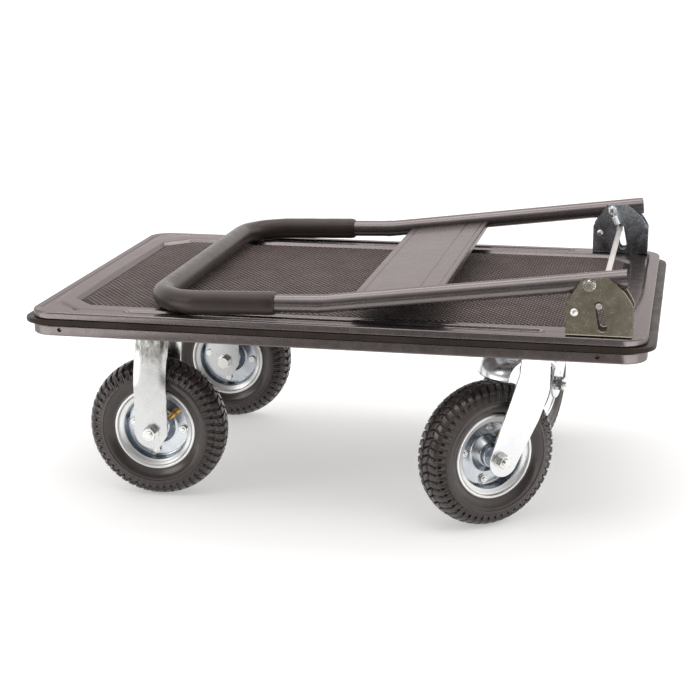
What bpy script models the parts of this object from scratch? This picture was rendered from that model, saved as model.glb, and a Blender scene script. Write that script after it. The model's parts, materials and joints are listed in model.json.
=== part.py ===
"""Folding platform cart: a pressed steel deck on two fixed and two swivel pneumatic casters, with a
push handle that folds down onto the deck and locks upright behind a spring-loaded rod.

Metres, +Z up. +X points to the hinge end of the deck, where the swivel casters are. The floor is at
z = 0, and the middle of the whole cart's box stands on the origin."""

from math import atan2, cos, pi, radians, sin, tan

import bmesh
import bpy
from mathutils import Vector

# Gap between pieces that touch, and how far cutters reach past what they cut
GAP = 0.0003
PAST = 0.01

# Deck
DECK_LENGTH = 0.910
DECK_WIDTH = 0.610
DECK_TOP = 0.308
DECK_CORNER = 0.036
DECK_EDGE = 0.003
PAN_HEIGHT = 0.037
SHEET = 0.002
HEM_WIDTH = 0.012
GROOVE_TOP = 0.0115
GROOVE_HEIGHT = 0.0105
GROOVE_DEPTH = 0.004
RECESS_DEPTH = 0.0065
RECESS_SLOPE = 0.010
RECESS_ROOM = 0.001
MAT_LENGTH = 0.810
MAT_WIDTH = 0.492
MAT_CHAMFER = 0.038
MAT_THICK = 0.003
BUMPER_END = 0.012
BUMPER_SIDE = 0.0025
BUMPER_EDGE = 0.002
SKIRT_HOLE_RADIUS = 0.0025
SKIRT_HOLES_X = (-0.404, 0.387)
SKIRT_HOLE_DROP = 0.0275

# Cross channels under the deck, which the casters are bolted to
CHANNEL_WIDTH = 0.112
CHANNEL_FLANGE = 0.016
CHANNEL_LENGTH = 0.560
CHANNEL_HEIGHT = 0.0195

# Wheels
WHEEL_RADIUS = 0.109
WHEEL_STEPS = 20
TYRE_HALF_WIDTH = 0.030
FLANGE_RADIUS = 0.0645
HUB_HALF = 0.037
HUB_RADIUS = 0.0175
AXLE_RADIUS = 0.006
RIM_SHEET = 0.0015
VALVE_ANGLE = radians(38)
VALVE_REACH = 0.0475
VALVE_OUT = 0.0135

# Half sections through a wheel, as (radius, distance from the middle)
TYRE_SKIN = ((0.0537, 0.0185), (0.0660, 0.0200), (0.0800, TYRE_HALF_WIDTH), (0.0985, 0.0280))
TREAD_EDGE = 0.0135
TYRE_INSIDE = ((0.0537, 0.0120), (0.0790, 0.0230), (0.0995, 0.0150))
TUBE_SKIN = ((0.0570, 0.0025), (0.0590, 0.0110), (0.0775, 0.0205), (0.0965, 0.0125))
TUBE_INSIDE = ((0.0590, 0.0025), (0.0605, 0.0098), (0.0773, 0.0182), (0.0945, 0.0110))
RIM_OUTSIDE = ((0.0490, GAP / 2), (0.0515, 0.0050), (0.0522, 0.0200), (FLANGE_RADIUS - 0.002, 0.0215))
RIM_INSIDE = ((FLANGE_RADIUS - 0.002, 0.0240), (0.0507, 0.0225), (0.0500, 0.0055))
HUB_SKIN = ((0.0148, HUB_HALF), (0.0148, 0.016), (HUB_RADIUS, 0.012))

# Casters
TRACK_HALF = 0.204
FIXED_X = -0.2877
SWIVEL_X = 0.269
TRAIL = 0.055
NEAR_YAW = radians(39.3)
FAR_YAW = radians(76)
PLATE_THICK = 0.004
PLATE_LENGTH = 0.105
PLATE_WIDTH = 0.097
LEG_INNER = 0.0385
LEG_THICK = 0.0035
FIXED_LEG_HALF = 0.0255
FIXED_LEAN = 0.007
FIXED_KNEE = 0.098
FIXED_SHOULDER = 0.137
SWIVEL_TOP = (0.032, 0.082)
SWIVEL_BACK = ((0.029, 0.120), (0.016, 0.090))
SWIVEL_FRONT = ((0.064, 0.052), (0.081, 0.088))
SWIVEL_END = (0.004, -0.003)
SWIVEL_END_RADIUS = 0.0235
CROWN_THICK = 0.0045
BOWL = ((0.0300, 0.0), (0.0400, 0.0130), (0.0500, 0.0198), (0.0560, 0.0281), (0.0595, 0.0410))
BOWL_SHEET = 0.003
RACE_RADIUS = 0.034
RACE_HEIGHT = 0.0077
RACE_EDGE = 0.003
AXLE_HEAD = 0.0108
AXLE_HEAD_HEIGHT = 0.0075
AXLE_NUT_HEIGHT = 0.0095
AXLE_END = 0.0145
KINGPIN_RADIUS = 0.0062
KINGPIN_HEAD = 0.0110
KINGPIN_HEAD_HEIGHT = 0.0085
HEX_EDGE = 0.0012
HEX_FACE = 0.85

# Hinge brackets and handle lock
BRACKET_OUTER_Y = 0.303
BRACKET_DEPTH = 0.036
BRACKET_SHEET = 0.003
BRACKET_BACK_X = 0.3415
BRACKET_FRONT_X = 0.4335
BRACKET_RISE = 0.0835
BRACKET_BACK_RISE = 0.0465
BRACKET_FRONT_RISE = 0.044
BRACKET_BULGE = 0.004
CREST_BACK_X = 0.3635
CREST_FRONT_X = 0.3985
PIVOT_X = 0.3725
PIVOT_Z = 0.3825
PIVOT_RADIUS = 0.004
PIVOT_HEAD = 0.0075
PIVOT_HEAD_HEIGHT = 0.0055
PIVOT_NUT_HEIGHT = 0.0065
PIVOT_END = 0.0085
RIVET_X = 0.3530
RIVET_Z = 0.3425
RIVET_RADIUS = 0.003
RIVET_HEAD = 0.0055
RIVET_HEAD_HEIGHT = 0.0028
ROD_X = 0.3866
ROD_Z = 0.3525
ROD_RADIUS = 0.0038
ROD_PAST_BRACKET = 0.003
SPRING_RADIUS = 0.0042
SPRING_HALF = 0.0105
SPRING_TAPER = 0.0015
SPRING_INSIDE = 0.0125
SLOT_HALF_WIDTH = 0.0062
SLOT_TILT = radians(11.2)
SLOT_LENGTH = 0.0315

# Handle
TUBE_RADIUS = 0.01345
TUBE_WALL = 0.0016
TUBE_Y = 0.285
FOLD_SLOPE = radians(7.3)
TAIL_LENGTH = 0.0515
TAIL_CUT_HEIGHT = 0.0100
TAIL_CUT_LENGTH = 0.0070
BEND_X = -0.010
BEND_HALF = 0.020
GRIP_SLOPE = radians(1.85)
GRIP_END_X = -0.266
GRIP_CORNER = 0.075
GRIP_START_X = -0.080
GRIP_RADIUS = 0.018
PANEL_BACK_X = 0.026
PANEL_FRONT_X = 0.160
PANEL_SHEET = 0.0015
PANEL_LIP = 0.009
PANEL_STEP_IN = 0.014
PANEL_STEP_UP = 0.0015


def clear_scene():
    for obj in list(bpy.data.objects):
        bpy.data.objects.remove(obj, do_unlink=True)


def make_material(name, colour, roughness, metallic):
    material = bpy.data.materials.new(name)
    material.use_nodes = True
    shader = material.node_tree.nodes["Principled BSDF"]
    shader.inputs["Base Color"].default_value = (*colour, 1.0)
    shader.inputs["Roughness"].default_value = roughness
    shader.inputs["Metallic"].default_value = metallic
    return material


def make_empty(name, location, parent=None, yaw=0.0):
    """An empty at a joint, or at the middle of a group of pieces, in its parent's axes."""
    empty = bpy.data.objects.new(name, None)
    bpy.context.scene.collection.objects.link(empty)
    empty.location = location
    empty.rotation_euler = (0.0, 0.0, yaw)
    empty.parent = parent
    return empty


def make_object(name, bm, parent, material=None):
    """A mesh object from bm, which is freed. Without a material it is a cutter or another helper."""
    bmesh.ops.recalc_face_normals(bm, faces=bm.faces)
    mesh = bpy.data.meshes.new(name)
    bm.to_mesh(mesh)
    bm.free()
    obj = bpy.data.objects.new(name, mesh)
    bpy.context.scene.collection.objects.link(obj)
    obj.parent = parent
    if material is None:
        obj.hide_render = True
        obj.display_type = "WIRE"
        return obj
    mesh.materials.append(material)
    mesh.shade_smooth()
    mesh.set_sharp_from_angle(angle=radians(35))
    return obj


def boolean(obj, helper, operation="DIFFERENCE"):
    modifier = obj.modifiers.new(operation.lower(), "BOOLEAN")
    modifier.operation = operation
    modifier.solver = "EXACT"
    modifier.object = helper


def bridge(bm, loops, closed=False):
    """Skins the loops, which all have the same number of points, and caps the ends if it is open."""
    rings = [[bm.verts.new(point) for point in loop] for loop in loops]
    pairs = list(zip(rings, rings[1:]))
    if closed:
        pairs.append((rings[-1], rings[0]))
    else:
        bm.faces.new(rings[0][::-1])
        bm.faces.new(rings[-1])
    for low, high in pairs:
        for index in range(len(low)):
            after = (index + 1) % len(low)
            bm.faces.new((low[index], low[after], high[after], high[index]))
    return bm


def box_mesh(low, high):
    bm = bmesh.new()
    corners = [(low[0], low[1]), (high[0], low[1]), (high[0], high[1]), (low[0], high[1])]
    return bridge(bm, [[(x, y, z) for x, y in corners] for z in (low[2], high[2])])


def prism_mesh(outline, low, high, axis="Y"):
    """Extrudes a closed outline from low to high. The outline is (x, z) along Y and (x, y) along Z."""
    bm = bmesh.new()
    if axis == "Y":
        return bridge(bm, [[(x, y, z) for x, z in outline] for y in (low, high)])
    return bridge(bm, [[(x, y, z) for x, y in outline] for z in (low, high)])


def turned_mesh(profile, steps, axis="Y"):
    """Turns a closed (radius, height) profile round Y or Z, with a flat of the polygon facing down."""
    bm = bmesh.new()
    loops = []
    for step in range(steps):
        angle = 2 * pi * (step + 0.5) / steps - pi / 2
        if axis == "Y":
            loops.append([(r * cos(angle), h, r * sin(angle)) for r, h in profile])
        else:
            loops.append([(r * cos(angle), r * sin(angle), h) for r, h in profile])
    return bridge(bm, loops, closed=True)


def rod_mesh(sections, sides, axis="Y", turn=0.0):
    """A solid rod with (radius, height) sections along Y or Z: a pin, a bolt or a cutter."""
    bm = bmesh.new()
    loops = []
    for radius, height in sections:
        ring = []
        for step in range(sides):
            angle = turn + 2 * pi * (step + 0.5) / sides
            across, along = radius * cos(angle), radius * sin(angle)
            ring.append((across, height, along) if axis == "Y" else (across, along, height))
        loops.append(ring)
    return bridge(bm, loops)


def round_about(radius, sides):
    """Corner radius of a polygon whose flats stand radius from its middle."""
    return radius / cos(pi / sides)


def moved(bm, offset):
    bmesh.ops.translate(bm, vec=offset, verts=bm.verts)
    return bm


def rounded_rectangle(length, width, corner, z, steps=4):
    points = []
    for quarter in range(4):
        side_x = 1 if quarter in (0, 3) else -1
        side_y = 1 if quarter in (0, 1) else -1
        middle = (side_x * (length / 2 - corner), side_y * (width / 2 - corner))
        for step in range(steps + 1):
            angle = (quarter + step / steps) * pi / 2
            points.append((middle[0] + corner * cos(angle), middle[1] + corner * sin(angle), z))
    return points


def chamfered_rectangle(length, width, chamfer, z, steps=4):
    """The mat's outline, with as many points as rounded_rectangle, so that the two can be bridged."""
    points = []
    for quarter in range(4):
        side_x = 1 if quarter in (0, 3) else -1
        side_y = 1 if quarter in (0, 1) else -1
        on_end = Vector((side_x * length / 2, side_y * (width / 2 - chamfer), z))
        on_side = Vector((side_x * (length / 2 - chamfer), side_y * width / 2, z))
        first, last = (on_end, on_side) if quarter in (0, 2) else (on_side, on_end)
        points += [first.lerp(last, step / steps) for step in range(steps + 1)]
    return points


# Deck


def make_deck(cart, paint, mat_rubber, bumper_rubber):
    """The pressed pan, its mat, the bumper in its groove and the channels. Returns the height that
    the casters' plates reach up to."""
    top = DECK_TOP
    bottom = DECK_TOP - PAN_HEIGHT

    def ring(inset, z):
        return rounded_rectangle(
            DECK_LENGTH - 2 * inset, DECK_WIDTH - 2 * inset, DECK_CORNER - inset, z
        )

    def recess(grow, z):
        return chamfered_rectangle(
            MAT_LENGTH + 2 * grow, MAT_WIDTH + 2 * grow, MAT_CHAMFER + grow / 2, z
        )

    floor = top - RECESS_DEPTH
    groove_low = top - GROOVE_TOP - GROOVE_HEIGHT
    loops = [
        recess(RECESS_ROOM, floor),
        recess(RECESS_ROOM + RECESS_SLOPE, top),
        ring(DECK_EDGE, top),
        ring(0.0, top - DECK_EDGE),
        ring(0.0, top - GROOVE_TOP),
        ring(GROOVE_DEPTH, top - GROOVE_TOP),
        ring(GROOVE_DEPTH, groove_low),
        ring(0.0, groove_low),
        ring(0.0, bottom + SHEET),
        ring(SHEET, bottom),
        ring(HEM_WIDTH, bottom),
        ring(HEM_WIDTH, bottom + SHEET),
        ring(GROOVE_DEPTH + SHEET, bottom + SHEET),
        ring(GROOVE_DEPTH + SHEET, top - SHEET - DECK_EDGE),
        ring(GROOVE_DEPTH + 2 * SHEET, top - SHEET),
        recess(RECESS_SLOPE, top - SHEET),
        recess(0.0, floor - SHEET),
    ]
    pan = make_object("deck_pan", bridge(bmesh.new(), loops), cart, paint)
    for index, x in enumerate(SKIRT_HOLES_X):
        half = DECK_WIDTH / 2 + PAST
        hole = rod_mesh([(SKIRT_HOLE_RADIUS, -half), (SKIRT_HOLE_RADIUS, half)], 8)
        moved(hole, (x, 0.0, top - SKIRT_HOLE_DROP))
        boolean(pan, make_object(f"cut_skirt_{index}", hole, cart))

    low = floor + GAP
    mat_loops = [
        chamfered_rectangle(MAT_LENGTH, MAT_WIDTH, MAT_CHAMFER, z, steps=1)
        for z in (low, low + MAT_THICK)
    ]
    make_object("deck_mat", bridge(bmesh.new(), mat_loops), cart, mat_rubber)

    inner = GROOVE_DEPTH - GAP
    bumper_high = top - GROOVE_TOP - GAP
    bumper_low = groove_low + GAP
    length = DECK_LENGTH + 2 * BUMPER_END
    width = DECK_WIDTH + 2 * BUMPER_SIDE
    corner = DECK_CORNER + BUMPER_SIDE
    soft = BUMPER_EDGE
    bumper_loops = [
        ring(inner, bumper_low),
        rounded_rectangle(length - 2 * soft, width - 2 * soft, corner - soft, bumper_low),
        rounded_rectangle(length, width, corner, bumper_low + soft),
        rounded_rectangle(length, width, corner, bumper_high - soft),
        rounded_rectangle(length - 2 * soft, width - 2 * soft, corner - soft, bumper_high),
        ring(inner, bumper_high),
    ]
    bumper = bridge(bmesh.new(), bumper_loops, closed=True)
    make_object("edge_bumper", bumper, cart, bumper_rubber)

    ceiling = floor - SHEET - GAP
    web = ceiling - CHANNEL_HEIGHT
    half = CHANNEL_WIDTH / 2
    out = half + CHANNEL_FLANGE
    hat = [
        (-half, web),
        (half, web),
        (half, ceiling - SHEET),
        (out, ceiling - SHEET),
        (out, ceiling),
        (half - SHEET, ceiling),
        (half - SHEET, web + SHEET),
        (SHEET - half, web + SHEET),
        (SHEET - half, ceiling),
        (-out, ceiling),
        (-out, ceiling - SHEET),
        (-half, ceiling - SHEET),
    ]
    for name, x in (("fixed_end_channel", FIXED_X), ("swivel_end_channel", SWIVEL_X)):
        bm = prism_mesh(hat, -CHANNEL_LENGTH / 2, CHANNEL_LENGTH / 2)
        make_object(name, moved(bm, (x, 0.0, 0.0)), cart, paint)
    return web - GAP


# Hinge


def bracket_outline():
    """The side view of a hinge bracket: square at the foot, cut away behind, round in front."""
    low = DECK_TOP + GAP
    top = low + BRACKET_RISE
    shoulder_back = Vector((BRACKET_BACK_X, low + BRACKET_BACK_RISE))
    shoulder_front = Vector((BRACKET_FRONT_X, low + BRACKET_FRONT_RISE))
    crest_front = Vector((CREST_FRONT_X, top))
    chord = crest_front - shoulder_front
    outward = Vector((chord.y, -chord.x)).normalized()
    points = [(BRACKET_BACK_X, low), (BRACKET_FRONT_X, low)]
    for step in range(4):
        share = step / 3
        point = shoulder_front + chord * share + outward * BRACKET_BULGE * 4 * share * (1 - share)
        points.append((point.x, point.y))
    points.append((CREST_BACK_X, top))
    points.append((shoulder_back.x, shoulder_back.y))
    return points


def slot_outline(half_width, steps=4):
    """A slot down from the rod's place, with round ends."""
    along = Vector((sin(SLOT_TILT), -cos(SLOT_TILT)))
    top = Vector((ROD_X, ROD_Z))
    points = []
    for middle, start in ((top, 0.0), (top + along * SLOT_LENGTH, pi)):
        for step in range(steps + 1):
            angle = start + SLOT_TILT + pi * step / steps
            offset = Vector((cos(angle), sin(angle))) * half_width
            points.append((middle.x + offset.x, middle.y + offset.y))
    return points


def make_bracket(name, side, cart, zinc):
    """A folded bracket: two plates with the handle's tube between them, and a foot on the deck."""
    outer = BRACKET_OUTER_Y
    inner = BRACKET_OUTER_Y - BRACKET_DEPTH
    bracket = make_object(name, prism_mesh(bracket_outline(), inner, outer), cart, zinc)
    bracket.scale = (1.0, side, 1.0)
    foot = DECK_TOP + GAP + BRACKET_SHEET
    space = box_mesh(
        (BRACKET_BACK_X - PAST, inner + BRACKET_SHEET, foot),
        (BRACKET_FRONT_X + PAST, outer - BRACKET_SHEET, foot + BRACKET_RISE + PAST),
    )
    low, high = inner - PAST, outer + PAST
    pivot_hole = round_about(PIVOT_RADIUS + GAP, 10)
    rivet_hole = round_about(RIVET_RADIUS + GAP, 8)
    pivot = rod_mesh([(pivot_hole, low), (pivot_hole, high)], 10)
    rivet = rod_mesh([(rivet_hole, low), (rivet_hole, high)], 8)
    cuts = {
        "space": space,
        "slot": prism_mesh(slot_outline(SLOT_HALF_WIDTH), low, high),
        "pivot": moved(pivot, (PIVOT_X, 0.0, PIVOT_Z)),
        "rivet": moved(rivet, (RIVET_X, 0.0, RIVET_Z)),
    }
    for key, bm in cuts.items():
        cutter = make_object(f"cut_{name}_{key}", bm, cart)
        cutter.scale = (1.0, side, 1.0)
        boolean(bracket, cutter)


def make_hinge_fasteners(prefix, side, cart, zinc):
    """The pivot bolt with its nut, and the rivet that stops the handle when it is up."""
    outer = BRACKET_OUTER_Y + GAP
    inner = BRACKET_OUTER_Y - BRACKET_DEPTH - GAP
    head = PIVOT_HEAD
    bolt = rod_mesh(
        [
            (PIVOT_RADIUS, inner - PIVOT_END),
            (PIVOT_RADIUS, outer),
            (head, outer),
            (head, outer + PIVOT_HEAD_HEIGHT - HEX_EDGE),
            (head * HEX_FACE, outer + PIVOT_HEAD_HEIGHT),
        ],
        6,
    )
    nut_bore = round_about(PIVOT_RADIUS + GAP, 6)
    nut_low, nut_high = inner - PIVOT_NUT_HEIGHT, inner
    nut = turned_mesh(
        [(nut_bore, nut_low), (head, nut_low), (head, nut_high), (nut_bore, nut_high)], 6
    )
    dome, rise = RIVET_HEAD, RIVET_HEAD_HEIGHT
    rivet = rod_mesh(
        [
            (dome * 0.55, inner - rise),
            (dome, inner - rise / 3),
            (dome, inner),
            (RIVET_RADIUS, inner),
            (RIVET_RADIUS, outer),
            (dome, outer),
            (dome, outer + rise / 3),
            (dome * 0.55, outer + rise),
        ],
        8,
    )
    pieces = (
        ("pivot_bolt", moved(bolt, (PIVOT_X, 0.0, PIVOT_Z))),
        ("pivot_nut", moved(nut, (PIVOT_X, 0.0, PIVOT_Z))),
        ("stop_rivet", moved(rivet, (RIVET_X, 0.0, RIVET_Z))),
    )
    for kind, bm in pieces:
        obj = make_object(f"{prefix}_{kind}", bm, cart, zinc)
        obj.scale = (1.0, side, 1.0)


def make_lock(cart, zinc):
    """The rod across both brackets, and the springs that pull it up to the top of its slots."""
    lock = make_empty("lock_slide", (ROD_X, 0.0, ROD_Z), cart)
    half = BRACKET_OUTER_Y + ROD_PAST_BRACKET
    rod = rod_mesh([(ROD_RADIUS, -half), (ROD_RADIUS, half)], 12)
    make_object("lock_rod", rod, lock, zinc)

    lean = atan2(ROD_X - PIVOT_X, PIVOT_Z - ROD_Z)
    spring_y = BRACKET_OUTER_Y - BRACKET_DEPTH - SPRING_INSIDE
    full, tip = SPRING_HALF - SPRING_TAPER, SPRING_RADIUS / 2
    sections = [(tip, -SPRING_HALF), (SPRING_RADIUS, -full), (SPRING_RADIUS, full), (tip, SPRING_HALF)]
    for prefix, side in (("near", -1), ("far", 1)):
        spring = make_object(f"{prefix}_lock_spring", rod_mesh(sections, 8, "Z"), cart, zinc)
        middle = Vector(((PIVOT_X + ROD_X) / 2, side * spring_y, (PIVOT_Z + ROD_Z) / 2 + 0.001))
        spring.location = middle
        spring.rotation_euler = (0.0, -lean, 0.0)


# Handle


def handle_path():
    """Points of the tube's middle line from one tail to the other, in the pivot's own frame."""
    drop = tan(FOLD_SLOPE)
    bend = Vector((BEND_X - PIVOT_X, 0.0, (BEND_X - PIVOT_X) * drop))
    tail = Vector((cos(FOLD_SLOPE), 0.0, sin(FOLD_SLOPE))) * TAIL_LENGTH

    def along_grip(x):
        return bend.z + (x - BEND_X) * tan(GRIP_SLOPE)

    half = [Vector((tail.x, -TUBE_Y, tail.z))]
    half.append(Vector((PAST, -TUBE_Y, PAST * drop)))
    half.append(Vector((bend.x + BEND_HALF, -TUBE_Y, bend.z + BEND_HALF * drop)))
    half.append(Vector((bend.x - BEND_HALF, -TUBE_Y, along_grip(BEND_X - BEND_HALF))))
    half.append(Vector((GRIP_START_X - PIVOT_X, -TUBE_Y, along_grip(GRIP_START_X))))
    middle_x = GRIP_END_X + GRIP_CORNER
    middle_y = TUBE_Y - GRIP_CORNER
    steps = 6
    for step in range(steps + 1):
        angle = pi / 2 * step / steps
        x = middle_x - GRIP_CORNER * sin(angle)
        y = -middle_y - GRIP_CORNER * cos(angle)
        half.append(Vector((x - PIVOT_X, y, along_grip(x))))
    other = [Vector((point.x, -point.y, point.z)) for point in reversed(half)]
    return half + other


def tube_rings(path, radius, sides):
    """A ring square to the path at each of its points, mitred where the path turns."""
    rings = []
    for index, point in enumerate(path):
        before = path[index] - path[index - 1] if index else None
        after = path[index + 1] - path[index] if index + 1 < len(path) else None
        way_in = (before or after).normalized()
        way_out = (after or before).normalized()
        way = (way_in + way_out).normalized()
        up = Vector((0.0, 0.0, 1.0))
        across = way_in.cross(up).normalized()
        upright = across.cross(way_in).normalized()
        ring = []
        for step in range(sides):
            angle = 2 * pi * (step + 0.5) / sides
            spot = point + (across * cos(angle) + upright * sin(angle)) * radius
            slide = (point - spot).dot(way) / way_in.dot(way)
            ring.append(spot + way_in * slide)
        rings.append(ring)
    return rings


def pipe_mesh(path, inner, outer, sides):
    """A pipe along the path, open at both ends."""
    outside = tube_rings(path, outer, sides)
    inside = tube_rings(path, inner, sides)
    bm = bmesh.new()
    skins = []
    for rings in (outside, inside):
        verts = [[bm.verts.new(point) for point in ring] for ring in rings]
        skins.append(verts)
        for low, high in zip(verts, verts[1:]):
            for index in range(sides):
                after = (index + 1) % sides
                bm.faces.new((low[index], low[after], high[after], high[index]))
    for end in (0, -1):
        out_ring, in_ring = skins[0][end], skins[1][end]
        for index in range(sides):
            after = (index + 1) % sides
            bm.faces.new((out_ring[index], out_ring[after], in_ring[after], in_ring[index]))
    return bm


def make_handle(cart, paint, foam):
    handle = make_empty("handle_fold", (PIVOT_X, 0.0, PIVOT_Z), cart)
    path = handle_path()
    sides = 12
    tube = make_object(
        "handle_tube", pipe_mesh(path, TUBE_RADIUS - TUBE_WALL, TUBE_RADIUS, sides), handle, paint
    )
    hole = round_about(PIVOT_RADIUS + GAP, 10)
    reach = TUBE_Y + TUBE_RADIUS + PAST
    boolean(tube, make_object("cut_pivot", rod_mesh([(hole, -reach), (hole, reach)], 10), handle))

    corner = [
        (TAIL_LENGTH - TAIL_CUT_LENGTH, -TUBE_RADIUS - SHEET),
        (TAIL_LENGTH + PAST, -TUBE_RADIUS - SHEET),
        (TAIL_LENGTH + PAST, TAIL_CUT_HEIGHT - TUBE_RADIUS),
        (TAIL_LENGTH, TAIL_CUT_HEIGHT - TUBE_RADIUS),
    ]
    cut = make_object("cut_tails", prism_mesh(corner, -reach, reach), handle)
    cut.rotation_euler = (0.0, -FOLD_SLOPE, 0.0)
    boolean(tube, cut)

    start = GRIP_START_X - PIVOT_X
    grip_path = [point for point in path if point.x <= start + 1e-6]
    bore = round_about(TUBE_RADIUS + GAP, sides)
    grip = pipe_mesh(grip_path, bore, GRIP_RADIUS, sides)
    make_object("handle_grip", grip, handle, foam)

    back = (PANEL_BACK_X - PIVOT_X) / cos(FOLD_SLOPE)
    front = (PANEL_FRONT_X - PIVOT_X) / cos(FOLD_SLOPE)
    sheet, lip = PANEL_SHEET, PANEL_LIP
    step_in, step_up = PANEL_STEP_IN, PANEL_STEP_UP
    profile = [
        (back, -lip),
        (back + sheet, -lip),
        (back + sheet, -sheet),
        (back + step_in, -sheet),
        (back + step_in + step_up, step_up - sheet),
        (front - step_in - step_up, step_up - sheet),
        (front - step_in, -sheet),
        (front - sheet, -sheet),
        (front - sheet, -lip),
        (front, -lip),
        (front, 0.0),
        (front - step_in, 0.0),
        (front - step_in - step_up, step_up),
        (back + step_in + step_up, step_up),
        (back + step_in, 0.0),
        (back, 0.0),
    ]
    reach = TUBE_Y - TUBE_RADIUS - GAP
    panel = make_object("handle_panel", prism_mesh(profile, -reach, reach), handle, paint)
    panel.rotation_euler = (0.0, -FOLD_SLOPE, 0.0)


# Wheels


def mirrored_section(skin, inside):
    """A closed section from the half outside and the half inside of a ring."""
    points = [(r, -y) for r, y in skin] + [(r, y) for r, y in reversed(skin)]
    return points + [(r, y) for r, y in inside] + [(r, -y) for r, y in reversed(inside)]


def make_wheel(prefix, parent, materials):
    """Tyre, inner tube, valve, two rim halves and hub, on an axle along the parent's Y."""
    half_tyre = (*TYRE_SKIN, (round_about(WHEEL_RADIUS, WHEEL_STEPS), TREAD_EDGE))
    tyre = turned_mesh(mirrored_section(half_tyre, TYRE_INSIDE), WHEEL_STEPS)
    make_object(f"{prefix}_tyre", tyre, parent, materials["tyre"])
    bladder = turned_mesh(mirrored_section(TUBE_SKIN, TUBE_INSIDE), WHEEL_STEPS // 2)
    make_object(f"{prefix}_inner_tube", bladder, parent, materials["tube"])

    hole = round_about(HUB_RADIUS + GAP, WHEEL_STEPS)
    face = [(hole, GAP / 2), *RIM_OUTSIDE, (FLANGE_RADIUS, RIM_INSIDE[0][1]), *RIM_INSIDE]
    face += [(0.0480, GAP / 2 + RIM_SHEET), (hole, GAP / 2 + RIM_SHEET)]
    for name, side in (("outer_rim", -1), ("inner_rim", 1)):
        rim = turned_mesh([(r, side * y) for r, y in face], WHEEL_STEPS)
        make_object(f"{prefix}_{name}", rim, parent, materials["zinc"])

    bore = round_about(AXLE_RADIUS + GAP, WHEEL_STEPS // 2)
    hub = turned_mesh(mirrored_section(((bore, HUB_HALF), *HUB_SKIN), ()), WHEEL_STEPS // 2)
    make_object(f"{prefix}_hub", hub, parent, materials["zinc"])

    stem = rod_mesh([(0.0025, 0.0), (0.0035, 0.002), (0.0035, 0.018), (0.0028, 0.024)], 8, "Z")
    valve = make_object(f"{prefix}_valve", stem, parent, materials["brass"])
    across, up = VALVE_REACH * cos(VALVE_ANGLE), VALVE_REACH * sin(VALVE_ANGLE)
    valve.location = (across, -VALVE_OUT, up)
    valve.rotation_euler = (0.0, -pi / 2 - VALVE_ANGLE, 0.0)


def make_axle(prefix, parent, zinc):
    """The bolt through the fork and the hub, and its nut on the outer side."""
    out = LEG_INNER + LEG_THICK + GAP
    head, face = AXLE_HEAD, AXLE_HEAD * HEX_FACE
    bolt = rod_mesh(
        [
            (AXLE_RADIUS * HEX_FACE, -out - AXLE_END),
            (AXLE_RADIUS, -out - AXLE_END + HEX_EDGE),
            (AXLE_RADIUS, out),
            (head, out),
            (head, out + AXLE_HEAD_HEIGHT - HEX_EDGE),
            (face, out + AXLE_HEAD_HEIGHT),
        ],
        6,
    )
    make_object(f"{prefix}_axle_bolt", bolt, parent, zinc)
    bore = round_about(AXLE_RADIUS + GAP, 6)
    nut = turned_mesh(
        [
            (bore, -out - AXLE_NUT_HEIGHT),
            (face, -out - AXLE_NUT_HEIGHT),
            (head, -out - AXLE_NUT_HEIGHT + HEX_EDGE),
            (head, -out),
            (bore, -out),
        ],
        6,
    )
    make_object(f"{prefix}_axle_nut", nut, parent, zinc)


def cut_axle_hole(fork, parent):
    hole = round_about(AXLE_RADIUS + GAP, 10)
    reach = LEG_INNER + LEG_THICK + PAST
    cutter = rod_mesh([(hole, -reach), (hole, reach)], 10)
    boolean(fork, make_object(f"cut_{fork.name}_axle", cutter, parent))


def leg_end(middle, radius, start, stop, steps=5):
    """Points of the round end of a fork leg, from angle start to angle stop."""
    points = []
    for step in range(steps + 1):
        angle = start + (stop - start) * step / steps
        points.append((middle[0] + radius * cos(angle), middle[1] + radius * sin(angle)))
    return points


def fork_mesh(outline):
    """Both legs of a fork as one prism across it, from which the space for the wheel is cut."""
    reach = LEG_INNER + LEG_THICK
    return prism_mesh(outline, -reach, reach)


def bowl_section(hole, top):
    """The half section of a fork's crown: flat round the kingpin, then a bowl down over the wheel."""
    outside = [(radius, top - drop) for radius, drop in BOWL]
    inside = [(radius - BOWL_SHEET, z - BOWL_SHEET) for radius, z in outside[1:-1]]
    edge = (outside[-1][0] - BOWL_SHEET, outside[-1][1])
    under = [(outside[0][0] - BOWL_SHEET, top - CROWN_THICK), (hole, top - CROWN_THICK)]
    return [(hole, top), *outside, edge, *reversed(inside), *under]


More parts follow.
